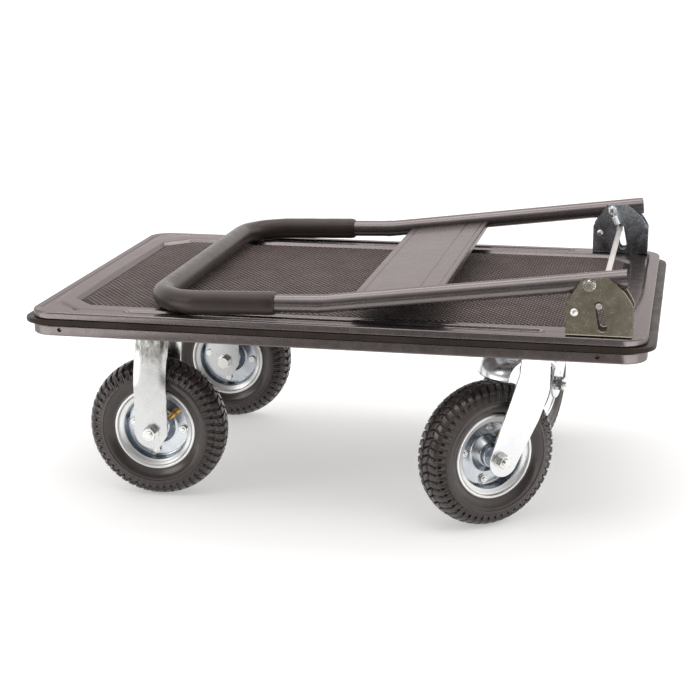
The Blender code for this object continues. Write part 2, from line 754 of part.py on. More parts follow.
def make_fixed_caster(prefix, side, cart, plate_top, materials):
    """The wheel's middle is the group's origin; side is -1 for the near side and 1 for the far."""
    caster = make_empty(f"{prefix}_caster", (FIXED_X, side * TRACK_HALF, WHEEL_RADIUS), cart)
    caster.scale = (1.0, -side, 1.0)
    top = plate_top - WHEEL_RADIUS
    low = top - PLATE_THICK
    half, lean = FIXED_LEG_HALF, FIXED_LEAN
    outline = [(half + lean, top - SHEET), (lean - half, top - SHEET)]
    outline += [(lean - half, FIXED_SHOULDER), (-half, FIXED_KNEE)]
    outline += leg_end((0.0, 0.0), half, pi, 1.5 * pi)
    outline += [(half * 0.45, -half), (half, -0.004), (half, FIXED_KNEE)]
    outline.append((half + lean, FIXED_SHOULDER))
    fork = make_object(f"{prefix}_fork", fork_mesh(outline), caster, materials["zinc"])
    space = box_mesh((-PLATE_LENGTH, -LEG_INNER, -PLATE_LENGTH), (PLATE_LENGTH, LEG_INNER, low))
    boolean(fork, make_object(f"cut_{prefix}_space", space, caster))
    plate = box_mesh(
        (lean - PLATE_LENGTH / 2, -PLATE_WIDTH / 2, low),
        (lean + PLATE_LENGTH / 2, PLATE_WIDTH / 2, top),
    )
    boolean(fork, make_object(f"join_{prefix}_plate", plate, caster), "UNION")
    cut_axle_hole(fork, caster)
    make_axle(prefix, caster, materials["zinc"])
    wheel = make_empty(f"{prefix}_wheel_spin", (0.0, 0.0, 0.0), caster)
    make_wheel(prefix, wheel, materials)


def make_swivel_caster(prefix, side, yaw, cart, plate_top, materials):
    """The group's origin is on the kingpin's axis, and its wheel trails behind along -X."""
    mount = make_empty(f"{prefix}_caster_mount", (SWIVEL_X, side * TRACK_HALF, 0.0), cart)
    plate_low = plate_top - PLATE_THICK
    race_low = plate_low - RACE_HEIGHT
    crown_top = race_low - GAP
    crown_low = crown_top - CROWN_THICK
    pin = KINGPIN_RADIUS

    plate = box_mesh(
        (-PLATE_LENGTH / 2, -PLATE_WIDTH / 2, plate_low),
        (PLATE_LENGTH / 2, PLATE_WIDTH / 2, plate_top),
    )
    plate = make_object(f"{prefix}_top_plate", plate, mount, materials["zinc"])
    sections = [(RACE_RADIUS - RACE_EDGE, race_low), (RACE_RADIUS, plate_low + PLATE_THICK / 4)]
    race = rod_mesh(sections, 16, "Z")
    boolean(plate, make_object(f"join_{prefix}_race", race, mount), "UNION")
    hole = round_about(pin + GAP, 10)
    cutter = rod_mesh([(hole, race_low - PAST), (hole, plate_top + PAST)], 10, "Z")
    boolean(plate, make_object(f"cut_{prefix}_pin", cutter, mount))

    head = KINGPIN_HEAD
    head_low = crown_low - KINGPIN_HEAD_HEIGHT
    kingpin = rod_mesh(
        [
            (head * HEX_FACE, head_low),
            (head, head_low + HEX_EDGE),
            (head, crown_low - GAP),
            (pin, crown_low - GAP),
            (pin, plate_top - GAP),
        ],
        6,
        "Z",
    )
    make_object(f"{prefix}_kingpin", kingpin, mount, materials["zinc"])

    swivel = make_empty(f"{prefix}_swivel", (0.0, 0.0, 0.0), mount, yaw)
    axle = make_empty(f"{prefix}_axle", (-TRAIL, 0.0, WHEEL_RADIUS), swivel)
    top = crown_top - WHEEL_RADIUS
    low = crown_low - WHEEL_RADIUS
    back, front = SWIVEL_TOP
    outline = [(front, top), (back, top), *SWIVEL_BACK]
    outline += leg_end(SWIVEL_END, SWIVEL_END_RADIUS, radians(160), radians(325), 6)
    outline += SWIVEL_FRONT
    fork = make_object(f"{prefix}_fork", fork_mesh(outline), axle, materials["zinc"])
    space = box_mesh((-PLATE_LENGTH, -LEG_INNER, -PLATE_LENGTH), (PLATE_LENGTH, LEG_INNER, low))
    boolean(fork, make_object(f"cut_{prefix}_space", space, axle))
    bowl = moved(turned_mesh(bowl_section(hole, top), 20, "Z"), (TRAIL, 0.0, 0.0))
    bowl = make_object(f"join_{prefix}_bowl", bowl, axle)
    half = LEG_INNER + LEG_THICK / 2
    sides = box_mesh((-PLATE_LENGTH, -half, low - BOWL[-1][1]), (2 * PLATE_LENGTH, half, top + PAST))
    boolean(bowl, make_object(f"keep_{prefix}_bowl", sides, axle), "INTERSECT")
    boolean(fork, bowl, "UNION")
    bore = rod_mesh([(hole, low - PAST), (hole, top + PAST)], 10, "Z")
    moved(bore, (TRAIL, 0.0, 0.0))
    boolean(fork, make_object(f"cut_{prefix}_crown", bore, axle))
    cut_axle_hole(fork, axle)
    make_axle(prefix, axle, materials["zinc"])
    wheel = make_empty(f"{prefix}_wheel_spin", (0.0, 0.0, 0.0), axle)
    make_wheel(prefix, wheel, materials)


def centre_on_origin(cart):
    """Moves the cart sideways so that the middle of its box is over the origin: a trailing caster
    reaches further out than the deck on one side."""
    bpy.context.view_layer.update()
    graph = bpy.context.evaluated_depsgraph_get()
    reach = []
    for obj in bpy.context.scene.objects:
        if obj.type == "MESH" and not obj.hide_render:
            shape = obj.evaluated_get(graph)
            reach += [shape.matrix_world @ vert.co for vert in shape.data.vertices]
    for axis in (0, 1):
        values = [point[axis] for point in reach]
        cart.location[axis] = -(min(values) + max(values)) / 2


def main():
    clear_scene()
    materials = {
        "paint": make_material("grey_paint", (0.130, 0.122, 0.122), 0.38, 0.55),
        "mat": make_material("mat_rubber", (0.055, 0.045, 0.043), 0.75, 0.0),
        "bumper": make_material("bumper_rubber", (0.040, 0.032, 0.030), 0.55, 0.0),
        "foam": make_material("grip_foam", (0.035, 0.029, 0.028), 0.60, 0.0),
        "zinc": make_material("zinc_plate", (0.70, 0.71, 0.73), 0.25, 1.0),
        "tyre": make_material("tyre_rubber", (0.030, 0.026, 0.025), 0.70, 0.0),
        "tube": make_material("tube_rubber", (0.015, 0.015, 0.015), 0.60, 0.0),
        "brass": make_material("brass", (0.70, 0.42, 0.14), 0.30, 1.0),
    }
    cart = make_empty("cart", (0.0, 0.0, 0.0))
    plate_top = make_deck(cart, materials["paint"], materials["mat"], materials["bumper"])
    for prefix, side in (("near", -1), ("far", 1)):
        make_bracket(f"{prefix}_hinge_bracket", side, cart, materials["zinc"])
        make_hinge_fasteners(prefix, side, cart, materials["zinc"])
        make_fixed_caster(f"{prefix}_fixed", side, cart, plate_top, materials)
    make_lock(cart, materials["zinc"])
    make_handle(cart, materials["paint"], materials["foam"])
    make_swivel_caster("near_swivel", -1, NEAR_YAW, cart, plate_top, materials)
    make_swivel_caster("far_swivel", 1, FAR_YAW, cart, plate_top, materials)
    centre_on_origin(cart)


main()
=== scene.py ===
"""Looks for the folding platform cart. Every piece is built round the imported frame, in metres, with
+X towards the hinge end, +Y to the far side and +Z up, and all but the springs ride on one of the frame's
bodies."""

import json
from math import atan2, ceil, cos, pi, radians, sin, tan

import bmesh
import bpy
import numpy as np
from mathutils import Matrix, Vector


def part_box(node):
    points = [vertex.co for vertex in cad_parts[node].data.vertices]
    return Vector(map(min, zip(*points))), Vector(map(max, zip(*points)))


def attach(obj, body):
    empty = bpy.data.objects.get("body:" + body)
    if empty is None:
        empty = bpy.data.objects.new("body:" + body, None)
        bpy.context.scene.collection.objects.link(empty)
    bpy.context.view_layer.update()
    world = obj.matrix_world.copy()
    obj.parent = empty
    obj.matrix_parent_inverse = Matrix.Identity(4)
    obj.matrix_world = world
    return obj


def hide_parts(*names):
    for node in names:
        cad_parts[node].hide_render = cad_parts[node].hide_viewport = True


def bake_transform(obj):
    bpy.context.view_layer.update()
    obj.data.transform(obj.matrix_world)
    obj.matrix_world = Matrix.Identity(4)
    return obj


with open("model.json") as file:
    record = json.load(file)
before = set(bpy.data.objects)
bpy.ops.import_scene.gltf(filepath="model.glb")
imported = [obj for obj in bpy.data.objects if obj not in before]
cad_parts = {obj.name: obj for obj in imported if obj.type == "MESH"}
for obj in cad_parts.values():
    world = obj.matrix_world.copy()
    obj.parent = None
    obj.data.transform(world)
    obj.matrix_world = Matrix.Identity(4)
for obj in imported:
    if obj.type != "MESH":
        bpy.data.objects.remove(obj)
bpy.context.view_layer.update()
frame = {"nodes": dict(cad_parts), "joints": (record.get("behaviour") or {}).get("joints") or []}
JOINTS = {joint["name"]: joint for joint in frame["joints"]}

# Deck
PAN_LOW, PAN_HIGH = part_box("deck_pan")
MAT_LOW, MAT_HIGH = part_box("deck_mat")
BUMPER_LOW, BUMPER_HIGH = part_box("edge_bumper")
CENTRE = Vector(((PAN_LOW.x + PAN_HIGH.x) / 2, (PAN_LOW.y + PAN_HIGH.y) / 2, 0.0))
DECK_TOP = PAN_HIGH.z
DECK_BOTTOM = PAN_LOW.z
DECK_LENGTH = PAN_HIGH.x - PAN_LOW.x
DECK_WIDTH = PAN_HIGH.y - PAN_LOW.y
DECK_CORNER = 0.036
MAT_CHAMFER = 0.038
CHAMFER_GROWTH = 2 - 2**0.5
SHEET = 0.002
EDGE_RADIUS = 0.003
RIM_DROP = 0.0006
GROOVE_HIGH = DECK_TOP - 0.0115
GROOVE_LOW = GROOVE_HIGH - 0.0102
GROOVE_DEPTH = 0.004
RECESS_DEPTH = 0.0065
SLOPE_WIDTH = 0.0085
STUD_RISE = 0.0011
SKIRT_HOLE_X = (-0.404, 0.387)
SKIRT_HOLE_Z = DECK_TOP - 0.0275
SKIRT_HOLE_RADIUS = 0.0033
SIDE_GROOVE_Y = 0.2805
SIDE_GROOVE_HALF = 0.0095
SIDE_GROOVE_X = (-0.301, 0.300)
END_BEAD_X = -0.4425
BUMPER_SEAM_Y = CENTRE.y + 0.019
STUD_STEP = (0.0090, 0.0112)

# Hinge and handle. The bracket's shoulders are heights above the deck, at its back and its front.
PIVOT = Vector(JOINTS["handle_fold"]["pos_m"])
ROD_LOW, ROD_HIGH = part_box("lock_rod")
ROD = Vector(((ROD_LOW.x + ROD_HIGH.x) / 2, CENTRE.y, (ROD_LOW.z + ROD_HIGH.z) / 2))
THICKER_ROD = 0.0007
ROD_RADIUS = (ROD_HIGH.x - ROD_LOW.x) / 2 + THICKER_ROD
RIVET_LOW, RIVET_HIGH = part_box("far_stop_rivet")
RIVET = ((RIVET_LOW + RIVET_HIGH) / 2).to_tuple()
SPRING_LOW, SPRING_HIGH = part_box("far_lock_spring")
SLOT_WAY = Vector(JOINTS["lock_slide"]["axis"])
SLOT_LENGTH = 0.0315
SLOT_HALF_WIDTH = 0.0062
BRACKET_LOW, BRACKET_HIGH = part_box("far_hinge_bracket")
BRACKET_OUTER = BRACKET_HIGH.y - CENTRE.y
BRACKET_INNER = BRACKET_LOW.y - CENTRE.y
BRACKET_SHEET = 0.003
BRACKET_BEND = 0.0032
BRACKET_CREST_X = (0.3635, 0.3985)
BRACKET_SHOULDERS = (0.0465, 0.044)
BRACKET_BULGE = 0.016
WIRE_RADIUS = 0.00078
SPRING_RADIUS = 0.0044
SPRING_TURNS = 13
TUBE_RADIUS = 0.01345
TUBE_WALL = 0.0016
TUBE_Y = 0.285
FOLD_SLOPE = radians(7.3)
GRIP_SLOPE = radians(1.85)
TAIL_LENGTH = 0.0515
BEND_X = -0.010
BEND_HALF = 0.011
GRIP_END_X = -0.266
GRIP_CORNER = 0.075
GRIP_START_X = -0.074
GRIP_RADIUS = 0.0175
PANEL_X = (0.026, 0.160)

# Wheels and casters
WHEEL_RADIUS = 0.109
TREAD_HALF = 0.0212
TREAD_PITCHES = 52
VALVE_ANGLE = radians(38)
LEG_INNER = 0.0385
LEG_THICK = 0.0035
LEG_DISH = 0.0034
TRAIL = 0.055
FIXED_PLATE_X = 0.007
PLATE_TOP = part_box("near_swivel_top_plate")[1].z
CROWN_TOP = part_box("near_swivel_fork")[1].z
CROWN_THICK = 0.0045
BOWL_SHEET = 0.003
AXLE_OUT = LEG_INNER + LEG_THICK + 0.0003
NUT_TURN = radians(14)
CASTERS = ("near_fixed", "far_fixed", "near_swivel", "far_swivel")

# Turns that several shapes share
FLIP = Matrix.Scale(-1, 4, (0, 1, 0))
UPRIGHT = Matrix.Rotation(pi / 2, 4, "X")
HANGING = Matrix.Rotation(-pi / 2, 4, "X")


# Shapes: a shape is a pair of an array of points and a list of faces


def shape(points, faces):
    return np.array([tuple(point) for point in points], float).reshape(-1, 3), faces


def join(*shapes):
    points, faces, count = [], [], 0
    for part_points, part_faces in shapes:
        points.append(part_points)
        faces += [[index + count for index in face] for face in part_faces]
        count += len(part_points)
    return np.concatenate(points), faces


def placed(part, matrix):
    points, faces = part
    values = np.array(matrix, float)
    moved = points @ values[:3, :3].T + values[:3, 3]
    if matrix.determinant() < 0:
        faces = [face[::-1] for face in faces]
    return moved, faces


def shifted(part, offset):
    return placed(part, Matrix.Translation(offset))


def mirrored(part):
    """The same shape on the other side of the deck's middle line."""
    to_middle = Matrix.Translation((0.0, CENTRE.y, 0.0))
    return placed(part, to_middle @ FLIP @ to_middle.inverted())


def doubled(part):
    """The shape and its mirror image across y = 0."""
    return join(part, placed(part, FLIP))


def grid(rows, wrap_rows=False, caps=False):
    """Skins rows of points, each one closed on itself. The last row may close on the first one."""
    rows = np.array(rows, float)
    count, width = rows.shape[:2]
    down = np.arange(count if wrap_rows else count - 1)
    first, second = np.meshgrid(down, np.arange(width), indexing="ij")
    under, beside = (first + 1) % count, (second + 1) % width
    corners = (first * width + second, first * width + beside)
    corners += (under * width + beside, under * width + second)
    faces = np.stack(corners, axis=-1).reshape(-1, 4).tolist()
    if caps:
        faces.append(list(range(width))[::-1])
        faces.append(list(range((count - 1) * width, count * width)))
    return rows.reshape(-1, 3), faces


def turned(profile, steps, ripple=None):
    """Turns a closed (radius, height) profile round Y. ripple(radii, heights, angle) may change it."""
    radii, heights = np.array(profile, float).T
    rows = []
    for step in range(steps):
        angle = 2 * pi * step / steps
        around, along = ripple(radii, heights, angle) if ripple else (radii, heights)
        rows.append(np.stack([around * cos(angle), along, around * sin(angle)], axis=1))
    return grid(rows, wrap_rows=True)


def both_sides(profile):
    """A (radius, height) profile at negative heights, then backwards at its own heights."""
    return [(radius, -height) for radius, height in profile] + profile[::-1]


def lathe(sections, sides=32, outline=None):
    """A solid of (radius, height) sections along Y, round unless outline(angle) says otherwise."""
    rows = []
    for radius, height in sections:
        ring = []
        for step in range(sides):
            angle = 2 * pi * step / sides
            reach = min(radius, outline(angle)) if outline else radius
            ring.append((reach * cos(angle), height, reach * sin(angle)))
        rows.append(ring)
    return grid(rows, caps=True)


def hexagon(flat):
    """The radius of a hexagon whose flats stand flat from its middle."""
    return lambda angle: flat / cos((angle + pi / 6) % (pi / 3) - pi / 6)


def hex_solid(flat, low, high, chamfer=0.0009):
    corner = flat / cos(pi / 6)
    sections = [(flat * 0.97, low), (corner, low + chamfer), (corner, high - chamfer), (flat * 0.97, high)]
    return lathe(sections, 48, hexagon(flat))


def thread(radius, low, high, pitch=0.0012):
    """The ridged end of a bolt, from low to high along Y."""
    sections = []
    turns = max(2, round(abs(high - low) / pitch))
    for turn in range(turns):
        start = low + (high - low) * turn / turns
        sections += [(radius * 0.9, start), (radius, start + (high - low) / turns * 0.5)]
    sections += [(radius * 0.9, high), (radius * 0.62, high + (high - low) * 0.04)]
    return lathe(sections, 20)


def swept(path, radii, sides, caps=False):
    """A tube along the path. radii gives each point's radius, or one radius for all."""
    path = [Vector(point) for point in path]
    last = len(path) - 1
    angles = [2 * pi * side / sides for side in range(sides)]
    normal = None
    rows = []
    for index, point in enumerate(path):
        way = (path[min(index + 1, last)] - path[max(index - 1, 0)]).normalized()
        if normal is None:
            normal = way.cross(Vector((0.0, 0.0, 1.0)))
        normal = (normal - way * normal.dot(way)).normalized()
        other = way.cross(normal)
        radius = radii[index] if isinstance(radii, list) else radii
        rows.append([point + (normal * cos(a) + other * sin(a)) * radius for a in angles])
    return grid(rows, caps=caps)


def prism(outline, low, high):
    """Extrudes a closed (x, z) outline along Y."""
    rows = [[(x, y, z) for x, z in outline] for y in (low, high)]
    return grid(rows, caps=True)


def rounded(corners, steps=6):
    """A closed outline from (x, z, radius) corners, each one rounded by an arc."""
    points = []
    count = len(corners)
    for index, (x, z, radius) in enumerate(corners):
        here = Vector((x, z))
        before = Vector(corners[index - 1][:2]) - here
        after = Vector(corners[(index + 1) % count][:2]) - here
        if radius <= 0:
            points.append((x, z))
            continue
        half = before.angle(after) / 2
        reach = radius / tan(half)
        start, end = here + before.normalized() * reach, here + after.normalized() * reach
        middle = here + (before.normalized() + after.normalized()).normalized() * radius / sin(half)
        first = atan2(start.y - middle.y, start.x - middle.x)
        turn = (atan2(end.y - middle.y, end.x - middle.x) - first + pi) % (2 * pi) - pi
        points += arc(middle, radius, first, first + turn, steps)
    return points


def arc(middle, radius, start, stop, steps):
    angles = [start + (stop - start) * step / steps for step in range(steps + 1)]
    return [(middle[0] + radius * cos(angle), middle[1] + radius * sin(angle)) for angle in angles]


def added(name, data):
    """A new object in the scene."""
    obj = bpy.data.objects.new(name, data)
    bpy.context.scene.collection.objects.link(obj)
    return obj


def finish_mesh(name, part):
    points, faces = part
    mesh = bpy.data.meshes.new(name)
    mesh.from_pydata(points.tolist(), [], faces)
    bm = bmesh.new()
    bm.from_mesh(mesh)
    bmesh.ops.recalc_face_normals(bm, faces=bm.faces)
    bm.to_mesh(mesh)
    bm.free()
    return mesh


def soften(obj, width, limit):
    """Rounds off the edges that turn by more than the limit, in degrees."""
    modifier = obj.modifiers.new("soft_edges", "BEVEL")
    modifier.width = width
    modifier.segments = 2
    modifier.limit_method = "ANGLE"
    modifier.angle_limit = radians(limit)


def worked(part, cutters=(), bevel=0.0, operation="DIFFERENCE"):
    """The shape after Booleans with the cutters and a bevel of its sharp edges."""
    work = added("work", finish_mesh("work", part))
    tools = [added("tool", finish_mesh("tool", cutter)) for cutter in cutters]
    for tool in tools:
        modifier = work.modifiers.new("cut", "BOOLEAN")
        modifier.operation = operation
        modifier.object = tool
    if bevel:
        soften(work, bevel, 38)
    shape_now = work.evaluated_get(bpy.context.evaluated_depsgraph_get())
    mesh = shape_now.to_mesh()
    points = np.array([vert.co[:] for vert in mesh.vertices], float)
    faces = [list(polygon.vertices) for polygon in mesh.polygons]
    shape_now.to_mesh_clear()
    for obj in (work, *tools):
        bpy.data.objects.remove(obj)
    return points, faces


def level(obj):
    """Keeps flat faces flat in the light next to their rounded edges."""
    modifier = obj.modifiers.new("level", "WEIGHTED_NORMAL")
    modifier.keep_sharp = True


def piece(name, part, material, body, replaces=(), sharp=32):
    """One visible piece of the cart, smooth but for its sharp edges, riding on a body if given one."""
    mesh = finish_mesh(name, part)
    mesh.materials.append(material)
    mesh.shade_smooth()
    mesh.set_sharp_from_angle(angle=radians(sharp))
    obj = added(name, mesh)
    if body:
        level(obj)
        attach(obj, body)
    if replaces:
        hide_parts(*replaces)
    return obj


# Materials


def add_node(tree, kind, inputs, **settings):
    """A new node with its settings. An input, found by its name or number, is linked or set."""
    node = tree.nodes.new("ShaderNode" + kind)
    for name, value in settings.items():
        setattr(node, name, value)
    for socket, value in inputs.items():
        if isinstance(value, bpy.types.NodeSocket):
            tree.links.new(value, node.inputs[socket])
        else:
            node.inputs[socket].default_value = value
    return node


def add_ramp(tree, value, stops):
    """Maps a value to colours, or to greys where a stop is one number."""
    node = add_node(tree, "ValToRGB", {"Fac": value})
    elements = node.color_ramp.elements
    while len(elements) < len(stops):
        elements.new(0.5)
    for element, (position, colour) in zip(elements, stops):
        element.position = position
        element.color = (*((colour,) * 3 if isinstance(colour, float) else colour), 1.0)
    return node.outputs["Color"]


class Nodes:
    """A material's node tree, with short ways to add what these materials share."""

    def __init__(self, name, roughness, metallic=0.0, **constants):
        self.material = bpy.data.materials.new(name)
        self.material.use_nodes = True
        self.tree = self.material.node_tree
        self.shader = self.tree.nodes["Principled BSDF"]
        constants.update(Roughness=roughness, Metallic=metallic)
        for socket, value in constants.items():
            self.shader.inputs[socket.replace("_", " ")].default_value = value
        self.where = self.add("TexCoord", {}).outputs["Object"]
        self.height = None

    def add(self, kind, inputs, **settings):
        return add_node(self.tree, kind, inputs, **settings)

    def noise(self, scale, detail=4.0, roughness=0.55, stretch=None, distortion=0.0):
        where = self.where
        if stretch:
            where = self.add("Mapping", {"Vector": where, "Scale": stretch}).outputs["Vector"]
        inputs = {"Vector": where, "Scale": scale, "Detail": detail}
        inputs.update(Roughness=roughness, Distortion=distortion)
        return self.add("TexNoise", inputs).outputs["Fac"]

    def cells(self, scale, output):
        return self.add("TexVoronoi", {"Vector": self.where, "Scale": scale}).outputs[output]

    def spread(self, value, low, high, start=0.3, stop=0.7):
        """Two colours or greys, and what lies between them, over a part of the value's range."""
        return add_ramp(self.tree, value, [(start, low), (stop, high)])

    def mix(self, share, first, second, blend="MIX"):
        inputs = {0: share, 6: first, 7: second}
        return self.add("Mix", inputs, data_type="RGBA", blend_type=blend).outputs[2]

    def above(self, low, high, ragged=False):
        """A share that rises from none at one height to all at the other, if asked unevenly."""
        height = self.add("SeparateXYZ", {0: self.where}).outputs["Z"]
        if ragged:
            inputs = {0: self.noise(130.0, 5.0), 1: high - low, 2: height}
            height = self.add("Math", inputs, operation="MULTIPLY_ADD").outputs[0]
            low, high = (low + high) / 2, high + (high - low) / 2
        inputs = {"Value": height, "From Min": low, "From Max": high}
        return self.add("MapRange", inputs).outputs["Result"]

    def colour(self, source):
        self.tree.links.new(source, self.shader.inputs["Base Color"])

    def roughness(self, source):
        self.tree.links.new(source, self.shader.inputs["Roughness"])

    def bump(self, value, distance, strength=1.0):
        """Adds a bump on top of those already there."""
        inputs = {"Height": value, "Distance": distance, "Strength": strength}
        if self.height:
            inputs["Normal"] = self.height
        self.height = self.add("Bump", inputs).outputs["Normal"]
        self.tree.links.new(self.height, self.shader.inputs["Normal"])


def paint_material():
    """Satin grey paint with a fine metallic flake and a faint orange peel."""
    tint = {"Specular_Tint": (0.55, 0.50, 0.50, 1.0)}
    nodes = Nodes("grey_metallic_paint", 0.26, 0.88, Coat_Weight=0.22, Coat_Roughness=0.10, **tint)
    flake = nodes.spread(nodes.cells(2600.0, "Color"), (0.182, 0.158, 0.158), (0.200, 0.173, 0.173), 0.2, 0.8)
    cloud = nodes.spread(nodes.noise(9.0, 5.0), (0.168, 0.147, 0.147), (0.196, 0.172, 0.172))
    nodes.colour(nodes.mix(0.12, cloud, flake))
    nodes.roughness(nodes.spread(nodes.noise(60.0, 1.0), 0.23, 0.30))
    nodes.bump(nodes.noise(30.0, 1.0), 0.00003, 0.5)
    return nodes.material


def zinc_material(name, dark, light, low, high, spangle, reflection_heights=None, metallic=1.0):
    """Bright zinc plate with soft clouds, fine speckles and hairline scratches. Given two heights, it turns
    between them into blotches of painted dark and light reflection, drawn out upwards."""
    nodes = Nodes(name, 0.2, metallic)
    cloud = nodes.spread(nodes.noise(14.0, 6.0, 0.62, distortion=0.6), dark, light, 0.32, 0.62)
    grains = nodes.spread(nodes.noise(900.0, 3.0, 0.7), (0.55, 0.55, 0.56), (1.0, 1.0, 1.0), 0.36, 0.52)
    plate = nodes.mix(spangle, cloud, grains, "MULTIPLY")
    if reflection_heights:
        # Painted reflection: dark, middling and light blotches stand in for the surroundings mirrored high on
        # the fork legs.
        dark_reflection, mid_reflection, bright = (0.12, 0.12, 0.11), (0.38, 0.38, 0.36), (0.74, 0.76, 0.76)
        reflection_blotches = nodes.noise(120.0, 6.0, 0.7, stretch=(1.0, 1.0, 0.35))
        painted_reflection = add_ramp(nodes.tree, reflection_blotches, [(0.36, dark_reflection), (0.52, mid_reflection), (0.66, bright)])
        plate = nodes.mix(nodes.above(*reflection_heights, ragged=True), plate, painted_reflection)
    nodes.colour(plate)
    nodes.roughness(nodes.spread(nodes.noise(110.0, 6.0, 0.65), low, high, 0.3, 0.72))
    nodes.bump(nodes.noise(300.0, 4.0, 0.6), 0.000012)
    nodes.bump(nodes.noise(60.0, 3.0, stretch=(6.0, 6.0, 1.0)), 0.00002, 0.7)
    return nodes.material


def rubber_material(name, dark, light, roughness, grain, depth, dust=0.0, shine=0.4, coat=0.0):
    """Moulded rubber: a fine grain, slow colour changes and, if asked for, pale dust."""
    constants = {"Specular_IOR_Level": shine, "Specular_Tint": (1.0, 0.90, 0.87, 1.0)}
    nodes = Nodes(name, roughness, Coat_Weight=coat, Coat_Roughness=0.16, **constants)
    tint = nodes.spread(nodes.noise(22.0, 6.0), dark, light)
    if dust:
        spots = nodes.spread(nodes.noise(190.0, 7.0, 0.7), 0.0, dust, 0.52, 0.74)
        tint = nodes.mix(spots, tint, (0.30, 0.27, 0.25, 1.0))
    nodes.colour(tint)
    nodes.roughness(nodes.spread(nodes.noise(70.0, 5.0), roughness - 0.07, roughness + 0.08))
    nodes.bump(nodes.noise(grain, 3.0, 0.6), depth)
    nodes.bump(nodes.noise(40.0, 3.0), 0.00012, 0.5)
    return nodes.material


def mat_material():
    """Dull rubber, painted dark between its studs as shade and paler on their tops as light."""
    nodes = Nodes("mat_rubber", 0.5, Specular_IOR_Level=0.16)
    patches = nodes.noise(22.0, 6.0)
    low = nodes.spread(patches, (0.006, 0.004, 0.003), (0.012, 0.008, 0.007))
    high = nodes.spread(patches, (0.124, 0.092, 0.087), (0.168, 0.128, 0.121))
    # Painted shade and light: near-black at the foot of the studs, pale on their tops.
    nodes.colour(nodes.mix(nodes.above(MAT_HIGH.z - STUD_RISE, MAT_HIGH.z), low, high))
    nodes.roughness(nodes.spread(nodes.noise(70.0, 5.0), 0.42, 0.58))
    nodes.bump(nodes.noise(1200.0, 3.0, 0.6), 0.00005)
    return nodes.material


def grip_material():
    """Soft foam rubber: fine closed pores, a satin sheen and slight pressure marks."""
    tints = {"Sheen_Tint": (0.75, 0.66, 0.62, 1.0), "Specular_Tint": (1.0, 0.86, 0.82, 1.0)}
    sheen = {"Sheen_Weight": 0.05, "Sheen_Roughness": 0.35}
    nodes = Nodes("grip_foam", 0.32, Specular_IOR_Level=0.36, **sheen, **tints)
    nodes.colour(nodes.spread(nodes.noise(18.0, 5.0), (0.028, 0.021, 0.020), (0.042, 0.032, 0.030)))
    nodes.roughness(nodes.spread(nodes.noise(55.0, 5.0), 0.27, 0.37, 0.3, 0.72))
    nodes.bump(nodes.cells(1500.0, "Distance"), 0.00008)
    nodes.bump(nodes.noise(38.0, 4.0), 0.00035, 0.5)
    return nodes.material


def brass_material():
    nodes = Nodes("valve_brass", 0.28, 1.0)
    nodes.colour(nodes.spread(nodes.noise(160.0, 5.0), (0.62, 0.33, 0.09), (0.88, 0.55, 0.20)))
    nodes.roughness(nodes.spread(nodes.noise(300.0, 4.0), 0.2, 0.4))
    nodes.bump(nodes.noise(900.0, 2.0), 0.00004)
    return nodes.material


# Zinc plate: dark and light tints, lowest and highest roughness, strength of the speckles
PAINT = paint_material()
ZINC = zinc_material("bright_zinc", (0.76, 0.77, 0.79), (0.85, 0.86, 0.87), 0.20, 0.30, 0.12)
RIM_ZINC = zinc_material("rim_zinc", (0.48, 0.51, 0.55), (0.72, 0.76, 0.80), 0.18, 0.26, 0.10)
BOLT_ZINC = zinc_material("bolt_zinc", (0.74, 0.74, 0.72), (0.88, 0.88, 0.86), 0.12, 0.20, 0.05)
# The fixed forks take a darker copy of the bright zinc as painted shade, with painted reflection blotches
# high on their legs.
FORK_SHADED_TINTS = (0.62, 0.63, 0.63), (0.70, 0.71, 0.71)
FORK_ZINC = zinc_material("fork_zinc_painted_shade_and_reflection", *FORK_SHADED_TINTS, 0.20, 0.30, 0.12, reflection_heights=(0.216, 0.240))
RIVET_ZINC = zinc_material("rivet_zinc", (0.80, 0.80, 0.79), (0.92, 0.92, 0.91), 0.30, 0.40, 0.05)
SPRING_TINTS = (0.82, 0.84, 0.86), (0.94, 0.96, 0.98)
SPRING_ZINC = zinc_material("spring_zinc", *SPRING_TINTS, 0.14, 0.24, 0.05, metallic=0.6)
# The rim's barrel takes a dark copy of the rim's zinc: painted shade in its deep wall.
SHADED_BARREL_ZINC = zinc_material("barrel_zinc_painted_shade", (0.22, 0.25, 0.29), (0.36, 0.40, 0.46), 0.16, 0.26, 0.1)
NEAR_ZINC = zinc_material("bronze_zinc", (0.40, 0.37, 0.305), (0.50, 0.465, 0.39), 0.18, 0.30, 0.3)
# The far bracket takes a darker, bluer zinc than the near one: painted shade with painted bluish reflection.
FAR_SHADED_ZINC = zinc_material("far_bracket_painted_shade_zinc", (0.17, 0.18, 0.19), (0.72, 0.80, 0.88), 0.16, 0.34, 0.4)
ROD_ZINC = zinc_material("dull_zinc", (0.50, 0.47, 0.45), (0.66, 0.63, 0.61), 0.38, 0.55, 0.3)

